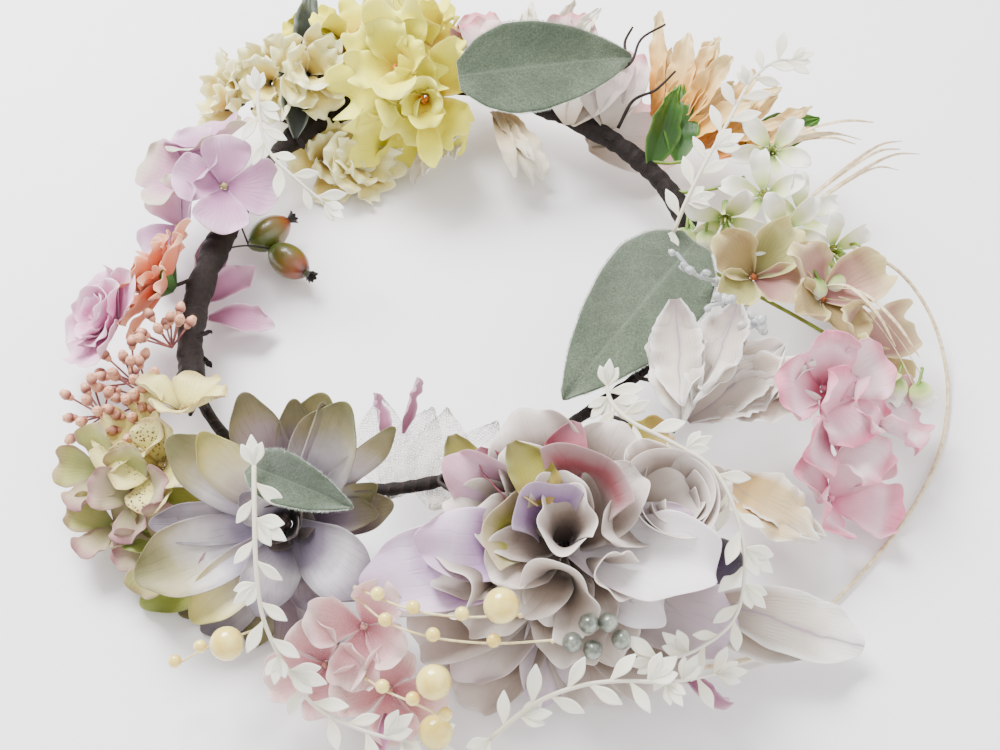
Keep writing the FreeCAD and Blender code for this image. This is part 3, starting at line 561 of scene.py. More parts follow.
def crepe_tape(name):
    """Waxed crepe tape wound round the ring: slanted overlaps and fine crinkles."""
    n = Nodes(name)
    along, across = n.uv()
    turns = n.plus(n.times(along, 150.0), across)
    lap = n.math("FRACT", n.math("MULTIPLY_ADD", n.noise(60, 2), 0.6, turns))
    crinkle = n.noise(900, 4, rough=0.7)
    shade = n.ramp(n.math("MULTIPLY_ADD", crinkle, 0.7, n.times(lap, 0.3)),
                   dye_stops("0.2:2A2120 0.55:4A3C39 0.9:7E6A63"))
    n.bump(n.plus(n.times(lap, 0.8), crinkle), 0.8, 0.0006)
    return n.surface(shade, 0.72, Specular_IOR_Level=0.25)


def velvet_leaf(name):
    """Woolly sage leaf: pale nap at the edges and over the veins, green-grey between."""
    n = Nodes(name)
    along, across = n.uv()
    off = n.math("ABSOLUTE", n.minus(across, 0.5))
    side = n.minus(along, n.times(off, 0.55))
    wavy = n.math("MULTIPLY_ADD", n.noise(70, 3), 0.05, side)
    rib = n.math("ABSOLUTE", n.math("SINE", n.times(wavy, 30.0)))
    rib = n.math("POWER", n.minus(1.0, rib), 5.0)
    mid = n.ramp(off, [(0.0, grey(1)), (0.035, grey(0))])
    net = n.voronoi(320, "DISTANCE_TO_EDGE")
    net = n.ramp(net, [(0.0, grey(1)), (0.09, grey(0))])
    nap = n.noise(1500, 4, rough=0.75)
    base = n.ramp(n.math("MULTIPLY_ADD", nap, 0.6, n.times(n.noise(45, 4), 0.4)),
                  dye_stops("0.3:64705E 0.5:869380 0.72:AFB9A8"))
    lines = n.math("MAXIMUM", n.times(rib, 0.07), n.times(mid, 0.16))
    lines = n.math("MAXIMUM", lines, n.times(net, 0.05))
    shade = n.mix(lines, base, colour("C6CFC4"))
    rim = n.math("MAXIMUM", n.times(off, 2.0), n.math("MULTIPLY_ADD", along, 1.0, -0.01))
    rim = n.ramp(n.math("MULTIPLY_ADD", nap, 0.16, rim), [(1.0, grey(0)), (1.1, grey(0.8))])
    shade = n.mix(rim, shade, colour("E2E6DC"))
    height = n.math("MULTIPLY_ADD", lines, 1.4, n.times(nap, 0.9))
    n.bump(height, 0.5, 0.0006)
    return n.surface(shade, 0.92, Sheen_Weight=0.6, Sheen_Roughness=0.5, Specular_IOR_Level=0.15)


def pearl_material(name):
    """Cream pearl under a clear glossy coat."""
    n = Nodes(name)
    shade = n.ramp(n.noise(160, 2), dye_stops("0.3:F2E294 0.7:FBF3BC"))
    n.bump(n.noise(400, 2), 0.03)
    return n.surface(shade, 0.22, Coat_Weight=0.8, Coat_Roughness=0.08, Subsurface_Weight=0.3,
                     Subsurface_Scale=0.002, Sheen_Weight=0.1)


def berry_material(name, main, tip, rough=0.4):
    """Waxy bead that turns from its own shade to a paler tip."""
    n = Nodes(name)
    mottle = n.math("MULTIPLY_ADD", n.noise(300, 3), 0.3, n.uv()[0])
    shade = n.ramp(mottle, [(0.35, colour(main)), (1.0, colour(tip))])
    n.bump(n.noise(900, 3), 0.2)
    return n.surface(shade, rough, Subsurface_Weight=0.15, Subsurface_Scale=0.001)


# ---------------------------------------------------------------- tubes and beads


def tube_mesh(name, lines, material, slot, nodes=(), sides=8, taper=1.0):
    """Round stems along smooth lines: each line is (points, radius)."""
    bm = bmesh.new()
    uv = bm.loops.layers.uv.new("UVMap")
    for points, radius in lines:
        add_tube(bm, uv, smooth_line(points), radius, sides, taper)
    finish_piece(from_bmesh(name, bm, material), slot, *nodes)


def smooth_line(points, parts=6):
    """Catmull-Rom points through the given ones."""
    points = [np.array(point) for point in points]
    if len(points) < 3:
        return [points[0] + (points[-1] - points[0]) * share for share in np.linspace(0, 1, parts)]
    full = [2 * points[0] - points[1]] + points + [2 * points[-1] - points[-2]]
    line = []
    for a, b, c, d in zip(full, full[1:], full[2:], full[3:]):
        for share in np.linspace(0, 1, parts, endpoint=False):
            line.append(0.5 * (2 * b + (c - a) * share + (2 * a - 5 * b + 4 * c - d) * share ** 2
                               + (3 * b - a - 3 * c + d) * share ** 3))
    return line + [points[-1]]


def add_tube(bm, uv, path, radius, sides=8, taper=1.0, radii=None):
    """A closed round tube with capped ends along a line of points."""
    count = len(path)
    rings = []
    guide = np.array([0.13, 0.21, 0.97])
    for index in range(count):
        ahead = path[min(index + 1, count - 1)] - path[max(index - 1, 0)]
        ahead = ahead / (np.linalg.norm(ahead) + 1e-12)
        side = np.cross(guide, ahead)
        side = side / (np.linalg.norm(side) + 1e-12)
        top = np.cross(ahead, side)
        here = radii[index] if radii is not None else radius * (1 + (taper - 1) * index / (count - 1))
        ring = []
        for number in range(sides):
            turn = 2 * math.pi * number / sides
            ring.append(bm.verts.new(path[index] + here * (math.cos(turn) * side + math.sin(turn) * top)))
        rings.append(ring)
    for index in range(count - 1):
        for number in range(sides):
            after = (number + 1) % sides
            face = bm.faces.new((rings[index][number], rings[index][after],
                                 rings[index + 1][after], rings[index + 1][number]))
            spread = ((index, number), (index, number + 1), (index + 1, number + 1), (index + 1, number))
            for loop, (row, col) in zip(face.loops, spread):
                loop[uv].uv = (row / (count - 1), col / sides)
    bm.faces.new(list(reversed(rings[0])))
    bm.faces.new(rings[-1])


def bead_mesh(name, beads, material, slot, nodes=(), dimple=0.0, segments=16):
    """Round beads, each (centre, radius, pole way), with the pole end slightly drawn out."""
    bm = bmesh.new()
    uv = bm.loops.layers.uv.new("UVMap")
    rows = segments // 2
    turns = [2 * math.pi * number / segments for number in range(segments)]
    for centre, radius, way in beads:
        seat = axes_to_matrix(centre, Vector(way).orthogonal(), way)
        rings = []
        for row in range(rows + 1):
            polar = math.pi * row / rows
            stretch = radius * (1 + dimple * max(0.0, math.cos(polar)) ** 6)
            wide = stretch * math.sin(polar)
            high = stretch * math.cos(polar)
            if 0 < row < rows:
                spots = [Vector((wide * math.cos(turn), wide * math.sin(turn), high)) for turn in turns]
            else:
                spots = [Vector((0, 0, high))]
            rings.append([bm.verts.new(seat @ place) for place in spots])
        for row in range(rows):
            upper, lower = rings[row], rings[row + 1]
            for number in range(segments):
                after = (number + 1) % segments
                if len(upper) == 1:
                    corners = (upper[0], lower[number], lower[after])
                elif len(lower) == 1:
                    corners = (upper[number], lower[0], upper[after])
                else:
                    corners = (upper[number], lower[number], lower[after], upper[after])
                face = bm.faces.new(corners)
                for loop in face.loops:
                    away = (loop.vert.co - Vector(centre)).dot(Vector(way).normalized())
                    loop[uv].uv = (0.5 + 0.5 * away / radius, number / segments)
    finish_piece(from_bmesh(name, bm, material), slot, *nodes)


# ---------------------------------------------------------------- floor, light and camera


def make_floor():
    """A pale floor just under the crown."""
    mesh = bpy.data.meshes.new("floor")
    bm = bmesh.new()
    bmesh.ops.create_grid(bm, x_segments=1, y_segments=1, size=3.0)
    bm.to_mesh(mesh)
    bm.free()
    floor = bpy.data.objects.new("floor", mesh)
    floor.location = (0, 0, CAD_BOX[0][2] - 0.5 * MM)
    n = Nodes("pale_floor")
    shade = n.ramp(n.noise(3, 2), dye_stops("0.3:F7F6F7 0.7:FCFBFC"))
    mesh.materials.append(n.surface(shade, 0.8))
    bpy.context.scene.collection.objects.link(floor)


def make_light():
    """A bright even surround, a soft key from the back left and a weak fill from the front right."""
    world = bpy.data.worlds.new("studio")
    world.use_nodes = True
    world.node_tree.nodes["Background"].inputs[0].default_value = (1.0, 0.99, 0.98, 1)
    world.node_tree.nodes["Background"].inputs[1].default_value = 1.3
    bpy.context.scene.world = world
    # Name, place and width in metres, power in watts.
    lamps = (("key", (-0.35, 0.5, 0.9), 0.6, 40.0), ("fill", (0.7, -0.6, 0.8), 1.2, 8.0))
    for name, place, width, power in lamps:
        lamp = bpy.data.lights.new(name, "AREA")
        lamp.size = width
        lamp.energy = power
        thing = bpy.data.objects.new(name, lamp)
        thing.location = place
        thing.rotation_euler = Vector(place).to_track_quat("Z", "Y").to_euler()
        bpy.context.scene.collection.objects.link(thing)


def make_camera():
    """A camera above the front of the crown, looking down at it."""
    view_down = 52
    distance = 520 * MM
    target = Vector((22, -49.5, 0)) * MM
    down = math.radians(view_down)
    lens = bpy.data.cameras.new("camera")
    lens.lens = 54.5
    lens.sensor_width = 36
    lens.clip_start = 0.01
    eye = bpy.data.objects.new("camera", lens)
    eye.location = target + Vector((0, -math.cos(down), math.sin(down))) * distance
    eye.rotation_euler = (math.radians(90 - view_down), 0, 0)
    bpy.context.scene.collection.objects.link(eye)
    bpy.context.scene.camera = eye


# ---------------------------------------------------------------- the raffia loop, a free cord


def make_raffia():
    """The long loose raffia loop, and the short curls among the lily bells."""
    n = Nodes("raffia_fibre")
    shade = n.ramp(n.noise(500, 4), dye_stops("0.3:DDD0B4 0.7:F6EEDC"))
    n.bump(n.noise(1400, 2), 0.3)
    raffia = n.surface(shade, 0.7, Subsurface_Weight=0.1, Subsurface_Scale=0.001)
    # The strand's way along the table: compass angle, distance from the middle and height in mm.
    route = (
        (3, 148, 4), (1, 162, 2), (359, 174, -7), (355, 183, -16), (348, 188, -22.2), (339, 188, -22.2),
        (330, 185, -22.2), (321, 182, -22.2), (312, 181, -22.2), (305, 179, -22.2), (300, 172, -22.2),
    )
    curve = bpy.data.curves.new("raffia_loop_line", "CURVE")
    curve.dimensions = "3D"
    spline = curve.splines.new("NURBS")
    spline.points.add(len(route) - 1)
    for point, seat in zip(spline.points, route):
        point.co = (*spot(*seat), 1)
    spline.order_u = 3
    spline.use_endpoint_u = True
    curve.resolution_u = 10
    curve.bevel_depth = 0.7 * MM
    curve.bevel_resolution = 3
    curve.use_fill_caps = True
    curve.materials.append(raffia)
    loop = bpy.data.objects.new("raffia_loop_cord", curve)
    bpy.context.scene.collection.objects.link(loop)
    finish_piece(loop, "raffia", "raffia_loop")
    curls = (
        ((352, 134, 8), (350, 146, 14), (346, 158, 12), (343, 168, 4)),
        ((8, 130, 8), (10, 148, 20), (12, 164, 24), (13, 176, 20)),
        ((20, 128, 8), (20, 142, 16), (18, 156, 20), (17, 168, 16)),
    )
    sheet = Sheet()
    rng = np.random.default_rng(21)
    for line in curls:
        for _ in range(4):
            shift = Vector(rng.uniform(-4, 4, 3)) * MM
            stations = [spot(*seat) + shift * (0.4 + 0.5 * index) for index, seat in enumerate(line)]
            ribbon = ribbon_grid(smooth_line(stations, 8), 1.6 * MM, rng.uniform(-60, 60), 120)
            sheet.add(ribbon, Matrix(), rng.uniform(0, 1))
    sheet.finish("raffia_ribbons", raffia, 0.25, "raffia", "raffia_curls")


def ribbon_grid(path, width, turn=0, twist=90, cols=3):
    """A flat ribbon along a line, turned about it and slowly twisting."""
    path = np.array(path)
    count = len(path)
    rows = []
    guide = np.array([0.1, 0.15, 1.0])
    for index in range(count):
        ahead = path[min(index + 1, count - 1)] - path[max(index - 1, 0)]
        ahead = ahead / np.linalg.norm(ahead)
        side = np.cross(guide, ahead)
        side = side / np.linalg.norm(side)
        top = np.cross(ahead, side)
        angle = math.radians(turn + twist * index / (count - 1))
        way = math.cos(angle) * side + math.sin(angle) * top
        taper = width / 2 * (1 - 0.75 * (index / (count - 1)) ** 3)
        rows.append([path[index] + way * taper * s for s in np.linspace(-1, 1, cols)])
    return np.array(rows)


# ---------------------------------------------------------------- the ring and its stems


def ring_line(start, end, step=3):
    """Points along the ring wire from one compass angle to another."""
    return [np.array(spot(angle, ring_radius(angle), 0.0)) for angle in np.arange(start, end + 0.1, step)]


def lumpy_tube(name, path, radius, lumps, material, node, rng, sides):
    """A taped bundle: its thickness swells and steps with every lap of tape, and its skin is crinkled."""
    bm = bmesh.new()
    uv = bm.loops.layers.uv.new("UVMap")
    line = smooth_line(path, 3)
    count = len(line)
    noise = rng.normal(0, 1, count)
    noise = np.convolve(np.pad(noise, 4, mode="edge"), np.ones(9) / 9, mode="valid") * 1.6
    ends = np.clip(np.minimum(np.arange(count), np.arange(count)[::-1]) / 7.0, 0, 1)
    gone = np.concatenate([[0], np.cumsum([np.linalg.norm(b - a) for a, b in zip(line, line[1:])])])
    lap = (gone / (6.5 * MM) + 0.4 * noise) % 1.0
    radii = radius * (0.5 + 0.5 * ends ** 0.6) + lumps * noise + 0.45 * MM * (lap - 0.5) * ends
    add_tube(bm, uv, line, radius, sides, 1.0, radii)
    for vert in bm.verts:
        vert.co += Vector(rng.normal(0, 0.11, 3)) * MM
    piece = from_bmesh(name, bm, material)
    subdivide(piece)
    finish_piece(piece, "floral_tape", node)


def make_ring():
    """Crepe tape over the ring, three thick bundles, and loose torn tape ends."""
    tape = crepe_tape("dark_crepe_tape")
    rng = np.random.default_rng(3)
    lumpy_tube("ring_tape_wound", ring_line(0, 363), 2.0 * MM, 0.25 * MM, tape, "ring_tape", rng, 16)
    # Node, first and last compass angle, radius and unevenness in mm.
    bundles = (
        ("tape_wrap_left", 150, 212, 4.9, 0.8), ("tape_wrap_top_left", 108, 138, 4.6, 0.8),
        ("tape_wrap_top_right", 10, 70, 3.6, 0.6),
    )
    for node, start, end, radius, lumps in bundles:
        path = ring_line(start, end, 2)
        lumpy_tube(node + "_bundle", path, radius * MM, lumps * MM, tape, node, rng, 24)
    # Compass angle, height in mm and heading.
    torn_ends = ((203, 3, 40), (206, -1, 320), (150, 4, 60), (131, 3, 300), (118, 4, 260), (44, 3, 120))
    sheet = Sheet()
    for angle, up, heading in torn_ends:
        seat = Matrix.Translation(spot(angle, ring_radius(angle) - 3, up))
        seat = seat @ Matrix.Rotation(math.radians(heading), 4, "Z")
        grid = petal_grid(rng, 6.5 * MM, 3 * MM, "strap", curve=-30, ruffle=0.5 * MM, waves=2, cup=0.4,
                          ragged=0.2)
        sheet.add(grid, seat, 0.5)
    sheet.finish("torn_tape_ends", tape, 0.3, "floral_tape")
    wire = solid_material("floral_wire", "4A4E48", "5E625A", rough=0.4, Metallic=0.7)
    reskin("frame_wire", wire)


def make_stems():
    """Stems of the CAD frame keep their shape and get bark, tape and leaf-green skins."""
    brown = solid_material("brown_stem_tape", "3B2C28", "5A4640", 200, 0.75, 0.6)
    green = solid_material("green_stem_skin", "7FA03C", "A9C266", 160, 0.45, 0.2, Subsurface_Weight=0.1)
    dark = solid_material("dark_wire_skin", "2E211E", "4A3730", 300, 0.6, 0.4)
    for node, material in (("brown_stems", brown), ("green_stems", green), ("rosehip_wires", dark)):
        reskin(node, material)


# ---------------------------------------------------------------- bloom makers


def upright(seat):
    """The same seat with its X turned to the frame's +X side."""
    return axes_to_matrix(seat.translation, (1, 0, 0), seat.col[2].to_3d())


def lay_petals(sheet, rng, seat, petals, shape, **style):
    """Place each petal of a list round a bloom's hub.

    A petal is azimuth, tilt, length, width and height over the hub in degrees and mm, its roll,
    and its dye's number; azimuth 0 is the frame's +X side.
    """
    for azimuth, tilt, length, width, up, roll, dye in petals:
        grid = petal_grid(rng, length * MM, width * MM, shape, rows=17, cols=11, **style)
        place = turn_about(seat, azimuth, tilt, 1.5 * MM, up * MM, roll)
        sheet.add(grid, place, dye + rng.uniform(0.25, 0.95))


def simple_blooms(node, name, material, slot, seed, layers):
    """Every CAD cup of a node becomes a bloom of the given layers; sizes are shares of its reach."""
    rng = np.random.default_rng(seed)
    sheet = Sheet()
    for seat, reach in cup_seats(node):
        for layer in layers:
            style = dict(layer)
            length = reach * style.pop("length")
            width = reach * style.pop("width")
            whorl(sheet, rng, seat, length=length, width=width, **style)
    sheet.finish(name, material, 0.3, slot, node)


def make_yellow():
    """Ruffled florets in butter yellow, loose and drooping, with orange throats."""
    petals = petal_material("yellow_cloth", "0:E39A2C 0.12:ECD434 0.5:F3EC4C 1:FBF884",
                            "0:E6C83C 0.2:F1E648 0.55:F9F570 1:FDFBA8",
                            edge="FFFDB4", edge_amount=0.35, veins=0.2, rough=0.55)
    rng = np.random.default_rng(5)
    sheet = Sheet()
    blooms = cup_seats("yellow_petals")
    lowest = sorted(range(len(blooms)), key=lambda index: blooms[index][0].translation.y)[:2]
    places = [seat.translation.copy() for seat, _ in blooms]
    # The two lowest blooms are gathered up towards the ring, and one petal hangs from the lowest.
    gathered = Vector((-1, 9, 2)) * MM
    small = 16 * MM
    for index, (seat, reach) in enumerate(blooms):
        if index in lowest:
            seat.translation += gathered
            reach *= 0.8
        if index == lowest[0]:
            foot = seat.translation + Vector((0, -8, 0)) * MM
            droop = petal_grid(rng, 22 * MM, 11 * MM, "spoon", curve=-16, tip_curl=30, cup=0.4,
                               ruffle=0.8 * MM, rows=21)
            sheet.add(droop, axes_to_matrix(foot, (0.15, -0.75, -0.6), (0, -0.6, 0.75)), 1.7)
        if reach < small:
            style = dict(up=0.001, curve=8, tip_curl=-70, waves=1.4, jitter=30, uneven=0.25)
            count, longer, tilt = 4, 1.2, 46
        else:
            style = dict(curve=24, tip_curl=-90, waves=1.3, jitter=26, uneven=0.22)
            count, longer, tilt = 5, 1.12, 14
        whorl(sheet, rng, seat, count, reach * longer, reach * 1.15, tilt, shape="fan", cup=0.3,
              ruffle=reach * 0.2, dyes=2, rows=19, cols=13, **style)
    sheet.finish("yellow_ruffled_petals", petals, 0.35, "yellow_petal", "yellow_petals")
    throat = berry_material("orange_throat", "C98A25", "EDB54A", 0.8)
    beads = []
    for centre, radius in part_balls("yellow_throats"):
        nearest = min(range(len(places)), key=lambda index: (places[index] - centre).length)
        if nearest in lowest:
            centre = centre + gathered
        for _ in range(9):
            way = Vector(rng.normal(0, 1, 3)).normalized()
            beads.append((centre + way * radius * 0.4, radius * 0.3, way))
    bead_mesh("flocked_throats", beads, throat, "throat", ["yellow_throats"], 0.3, 8)


def make_cream():
    """Frilled cream florets on dark calyxes."""
    # The tan at the base of both cream dyes is painted shade between the frills, over the cloth's own cream.
    cream = petal_material("cream_cloth", "0:B29A52 0.22:EADB8E 0.55:FBF3BC 1:FFFDDC",
                           "0:A48C4C 0.28:E2D28C 0.65:F8EFB8 1:FEFAD2",
                           edge="FFFFEC", veins=0.3, glow=0.3)
    simple_blooms("cream_petals", "cream_frills", cream, "cream_petal", 8, (
        dict(count=5, length=1.25, width=1.25, tilt=22, shape="fan", curve=16, tip_curl=-70, cup=0.25,
             ruffle=2.6 * MM, waves=1.9, jitter=20, dyes=2, rows=19, cols=13),
        dict(count=3, length=0.95, width=1.1, tilt=44, shape="fan", curve=10, tip_curl=-90, cup=0.3,
             ruffle=2.4 * MM, waves=2.1, up=0.001, spin=40, jitter=30, dyes=2, rows=19, cols=13),
    ))
    green = petal_material("calyx_green", "0:453F28 0.5:5E5C38 1:8E8C58", "0:4E7A2C 0.5:6FA03A 1:93BE5A",
                           veins=0.3, glow=0.05, sheen=0.1)
    rng = np.random.default_rng(9)
    sheet = Sheet()
    coral_side = -85 * MM
    for seat, reach in cup_seats("calyxes"):
        # The coral flower, far on the left, has a fresh green double calyx.
        fresh = seat.translation.x < coral_side
        longer, tilt, rounds = (1.6, 34, 2) if fresh else (1.25, 48, 1)
        for _ in range(rounds):
            whorl(sheet, rng, seat, 5, reach * longer, reach * 0.6, tilt, shape="lance", curve=10,
                  tip_curl=-30, cup=0.3, jitter=8, first_dye=rounds - 1)
    sheet.finish("calyx_sepals", green, 0.4, "calyx", "calyxes")


def blush_ruffles(rng):
    """Ruffled blush petals behind the velvet leaf, two to each CAD petal."""
    blush = petal_material("blush_cloth", "0:D9CFC2 0.4:F3ECE8 0.85:F7E6E6 1:F2B9C6",
                           "0:D8D0B0 0.4:EFEBD9 1:F8F4EA",
                           veins=0.4)
    sheet = Sheet()
    for seat, length, width in blade_seats("blush_petals"):
        for _ in range(2):
            grid = petal_grid(rng, length * rng.uniform(0.85, 1.05), width * rng.uniform(0.8, 1.1), "round",
                              curve=rng.uniform(-20, 30), tip_curl=-50, cup=0.35, ruffle=1.6 * MM, waves=2.4)
            sheet.add(grid, seat @ Matrix.Rotation(rng.uniform(-0.5, 0.5), 4, "Z")
                      @ Matrix.Rotation(rng.uniform(-0.5, 0.5), 4, "X"), rng.uniform(0, 1))
    sheet.finish("blush_ruffles", blush, 0.3, "blush_petal", "blush_petals")


def dried_ribbons(rng):
    """Curled dried ribbons, amber on the right and pale elsewhere."""
    dried = petal_material("dried_ribbon_tint", "0:E8B060 0.4:F8D890 1:FDF2D4",
                           "0:CDBB98 0.5:EFE6D2 1:FBF8F0", veins=0.5, rough=0.8)
    amber_side = 60 * MM
    sheet = Sheet()
    for seat, length, width in blade_seats("dried_ribbons"):
        for _ in range(4):
            pale = 0 if seat.translation.x > amber_side else 1
            grid = petal_grid(rng, length * rng.uniform(0.7, 1.05), width * rng.uniform(0.7, 1.5), "strap",
                              curve=rng.uniform(-10, 40), tip_curl=rng.uniform(-80, 10), cup=0.4,
                              ruffle=1.4 * MM, waves=3, twist=rng.uniform(-30, 30), ragged=0.12, rows=30)
            turned = seat @ Matrix.Rotation(rng.uniform(-0.4, 0.4), 4, "Z")
            sheet.add(grid, turned, pale + rng.uniform(0.3, 0.9))
    sheet.finish("curled_dried_ribbons", dried, 0.3, "dried_ribbon", "dried_ribbons")


def brown_twigs():
    """Thin knobbly twigs standing out behind the velvet leaf."""
    bark = solid_material("twig_bark", "3A231B", "5F4034", 260, 0.75, 0.7)
    twigs = (
        ((54, 96, 3), (55, 104, 14), (50, 112, 22), (51, 122, 27), (48, 128, 34)),
        ((46, 98, 3), (46, 106, 12), (42, 110, 20), (41, 118, 26)),
        ((50, 112, 22), (53, 117, 26), (53, 122, 31)),
    )
    tube_mesh("knobbly_twigs", [([spot(*seat) for seat in line], 0.75 * MM) for line in twigs], bark, "twig",
              ["brown_twigs"], 7, 0.6)


def make_blush():
    """Blush petals, dried ribbons and twigs behind the velvet leaf."""
    rng = np.random.default_rng(12)
    blush_ruffles(rng)
    dried_ribbons(rng)
    brown_twigs()


def leaf_nap(grid, rng, count, length, name, material):
    """Short pale hairs standing along a leaf's margin."""
    bm = bmesh.new()
    bm.loops.layers.uv.new("UVMap")
    rows, cols = grid.shape[:2]
    centre_row = grid[:, cols // 2]
    for _ in range(count):
        t = rng.uniform(0.03, 1.0) * (rows - 1)
        low = int(min(t, rows - 2))
        share = t - low
        side = 0 if rng.uniform() < 0.5 else cols - 1
        at = grid[low, side] * (1 - share) + grid[low + 1, side] * share
        middle = centre_row[low] * (1 - share) + centre_row[low + 1] * share
        out = at - middle
        out = out / (np.linalg.norm(out) + 1e-9)
        way = out + rng.normal(0, 0.45, 3)
        way = way / np.linalg.norm(way)
        end = at + way * length * rng.uniform(0.5, 1.2)
        wide = np.cross(way, (0.3, 0.2, 1.0))
        wide = wide / np.linalg.norm(wide) * 0.06 * MM
        thick = np.cross(way, wide)
        corners = (at + wide, at - wide * 0.5 + thick, at - wide * 0.5 - thick)
        base = [bm.verts.new(corner) for corner in corners]
        tip = bm.verts.new(end)
        bm.faces.new(base[::-1])
        for index in range(3):
            bm.faces.new((base[index], base[(index + 1) % 3], tip))
    finish_piece(from_bmesh(name, bm, material, smooth=False), "velvet_leaf")


def make_leaves():
    """Woolly velvet leaves with a pressed vein net, dark leaves and fresh green leaves."""
    woolly = velvet_leaf("woolly_leaf")
    nap = solid_material("leaf_nap", "C3CCC1", "E6EAE4", 600, 0.9, 0.0)
    rng = np.random.default_rng(31)
    # Against the CAD blade: how much longer and wider, where moved in mm, and how bent.
    bends = ("curve", "tip_curl", "cup", "fold", "twist")
    leaves = {
        "velvet_leaf_top": (1.1, 1.1, (0, -9, 14), (-12, -10, 0.1, 0.1, 4)),
        "velvet_leaf_right": (1.0, 1.04, (0, 0, 0), (-14, 8, 0.12, 0.08, -6)),
        "velvet_leaf_front": (1.06, 0.86, (0, 0, 2), (-10, 0, 0.1, 0.42, 12)),
    }
    for node, (longer, wider, moved, bent) in leaves.items():
        seat, length, width = blade_seats(node)[0]
        seat = Matrix.Translation(Vector(moved) * MM) @ seat
        length *= longer
        grid = petal_grid(rng, length, width * wider, "velvet", ruffle=0.5 * MM, waves=1.6,
                          rows=33, cols=15, **dict(zip(bends, bent)))
        grid[..., 2] += length * 0.02
        sheet = Sheet()
        sheet.add(grid, seat)
        sheet.finish(node + "_woolly", woolly, 0.9, "velvet_leaf", node)
        turned = grid @ np.array(seat.to_3x3()).T + np.array(seat.translation)
        leaf_nap(turned, rng, int(26 * length / MM), 0.9 * MM, node + "_nap", nap)
    dark = petal_material("dark_leaf_skin", "0:3F4A41 0.5:515E55 1:6F7A70", edge="B9BFB6",
                          edge_amount=0.7, veins=0.7, glow=0.02, rough=0.5, sheen=0.1, vein_count=26)
    green = petal_material("green_leaf_skin", "0:6C9C42 0.5:578A36 1:74A84C", edge="A4C47C",
                           veins=0.8, glow=0.05, rough=0.38, sheen=0.0, vein_count=22)
    for node, name, material, slot in (("dark_leaves", "dark_folded_leaves", dark, "dark_leaf"),
                                       ("green_leaves", "green_folded_leaves", green, "green_leaf")):
        sheet = Sheet()
        for seat, length, width in blade_seats(node):
            grid = petal_grid(rng, length * 1.06, width * 0.95, "leaf", curve=-20, tip_curl=16, fold=0.34,
                              ruffle=1.1 * MM, waves=3.4, twist=18, rows=29, cols=13)
            sheet.add(grid, seat, rng.uniform(0.3, 0.7))
        sheet.finish(name, material, 0.5, slot, node)


def make_left_flowers():
    """Pink hydrangea florets, the coral flower, the pale double and the mauve inner petals."""
    pink = petal_material("pink_hydrangea_cloth", "0:B98AAE 0.25:D9B4D2 0.7:E4C6DE 1:EFDCEA",
                          "0:C79CB4 0.4:E2BED2 0.75:EAD8D8 1:E2E4C8", "0:B98AAE 0.3:DDB9D4 1:EBD3E4",
                          edge="F1E6EC", edge_amount=0.25, veins=0.45)
    simple_blooms("pink_hydrangea", "pink_hydrangea_sepals", pink, "pink_petal", 41, (
        dict(count=4, length=1.06, width=1.18, tilt=12, shape="fan", curve=14, tip_curl=-30, cup=0.25,
             ruffle=0.9 * MM, waves=1.6, jitter=9, dyes=3),
    ))
    coral = petal_material("coral_cloth", "0:CA6C42 0.3:EA9A6E 0.7:F3B692 1:F8D0B6",
                           edge="FADCCB", veins=0.45)
    simple_blooms("coral_petals", "coral_petal_fan", coral, "coral_petal", 42, (
        dict(count=8, length=1.25, width=0.78, tilt=2, shape="point", curve=26, tip_curl=-50, cup=0.4,
             ruffle=1.3 * MM, waves=1.4, jitter=14, rows=19, cols=11),
        dict(count=6, length=0.98, width=0.8, tilt=36, shape="round", curve=16, tip_curl=-50, cup=0.45,
             up=0.001, spin=25, ruffle=1.3 * MM, waves=1.4, jitter=16, rows=19, cols=11),
    ))
    pale = petal_material("pale_pink_cloth", "0:DC98C0 0.35:EEBAD8 0.8:F3CEE4 1:F9E6F1",
                          edge="FBEAF0", veins=0.4)
    simple_blooms("pink_double", "pink_double_petals", pale, "pale_pink_petal", 43, (
        dict(count=4, length=1.4, width=1.5, tilt=16, shape="round", curve=20, tip_curl=-40, cup=0.35,
             ruffle=1.2 * MM, waves=1.2, jitter=12, rows=19, cols=13),
        dict(count=3, length=1.05, width=1.2, tilt=46, shape="round", curve=14, tip_curl=-40, cup=0.45,
             ruffle=1.1 * MM, waves=1.2, up=0.001, spin=30, jitter=16, rows=19, cols=13),
    ))
    mauve = petal_material("mauve_cloth", "0:BF8CA8 0.5:DDB6CC 1:EBD0DF", edge="F3E4EC", veins=0.5)
    rng = np.random.default_rng(44)
    for node, name in (("mauve_petals", "mauve_inner_petals"), ("pink_curls", "curled_pink_petals")):
        sheet = Sheet()
        for seat, length, width in blade_seats(node):
            wider, twist = (0.62, 70) if node == "pink_curls" else (1.0, rng.uniform(-20, 20))
            grid = petal_grid(rng, length * 1.05, width * wider, "round", curve=rng.uniform(-20, 30),
                              tip_curl=40, cup=0.6, ruffle=1.2 * MM, waves=1.8, twist=twist, rows=21)
            sheet.add(grid, seat, rng.uniform(0, 1))
        sheet.finish(name, mauve, 0.3, "mauve_petal", node)


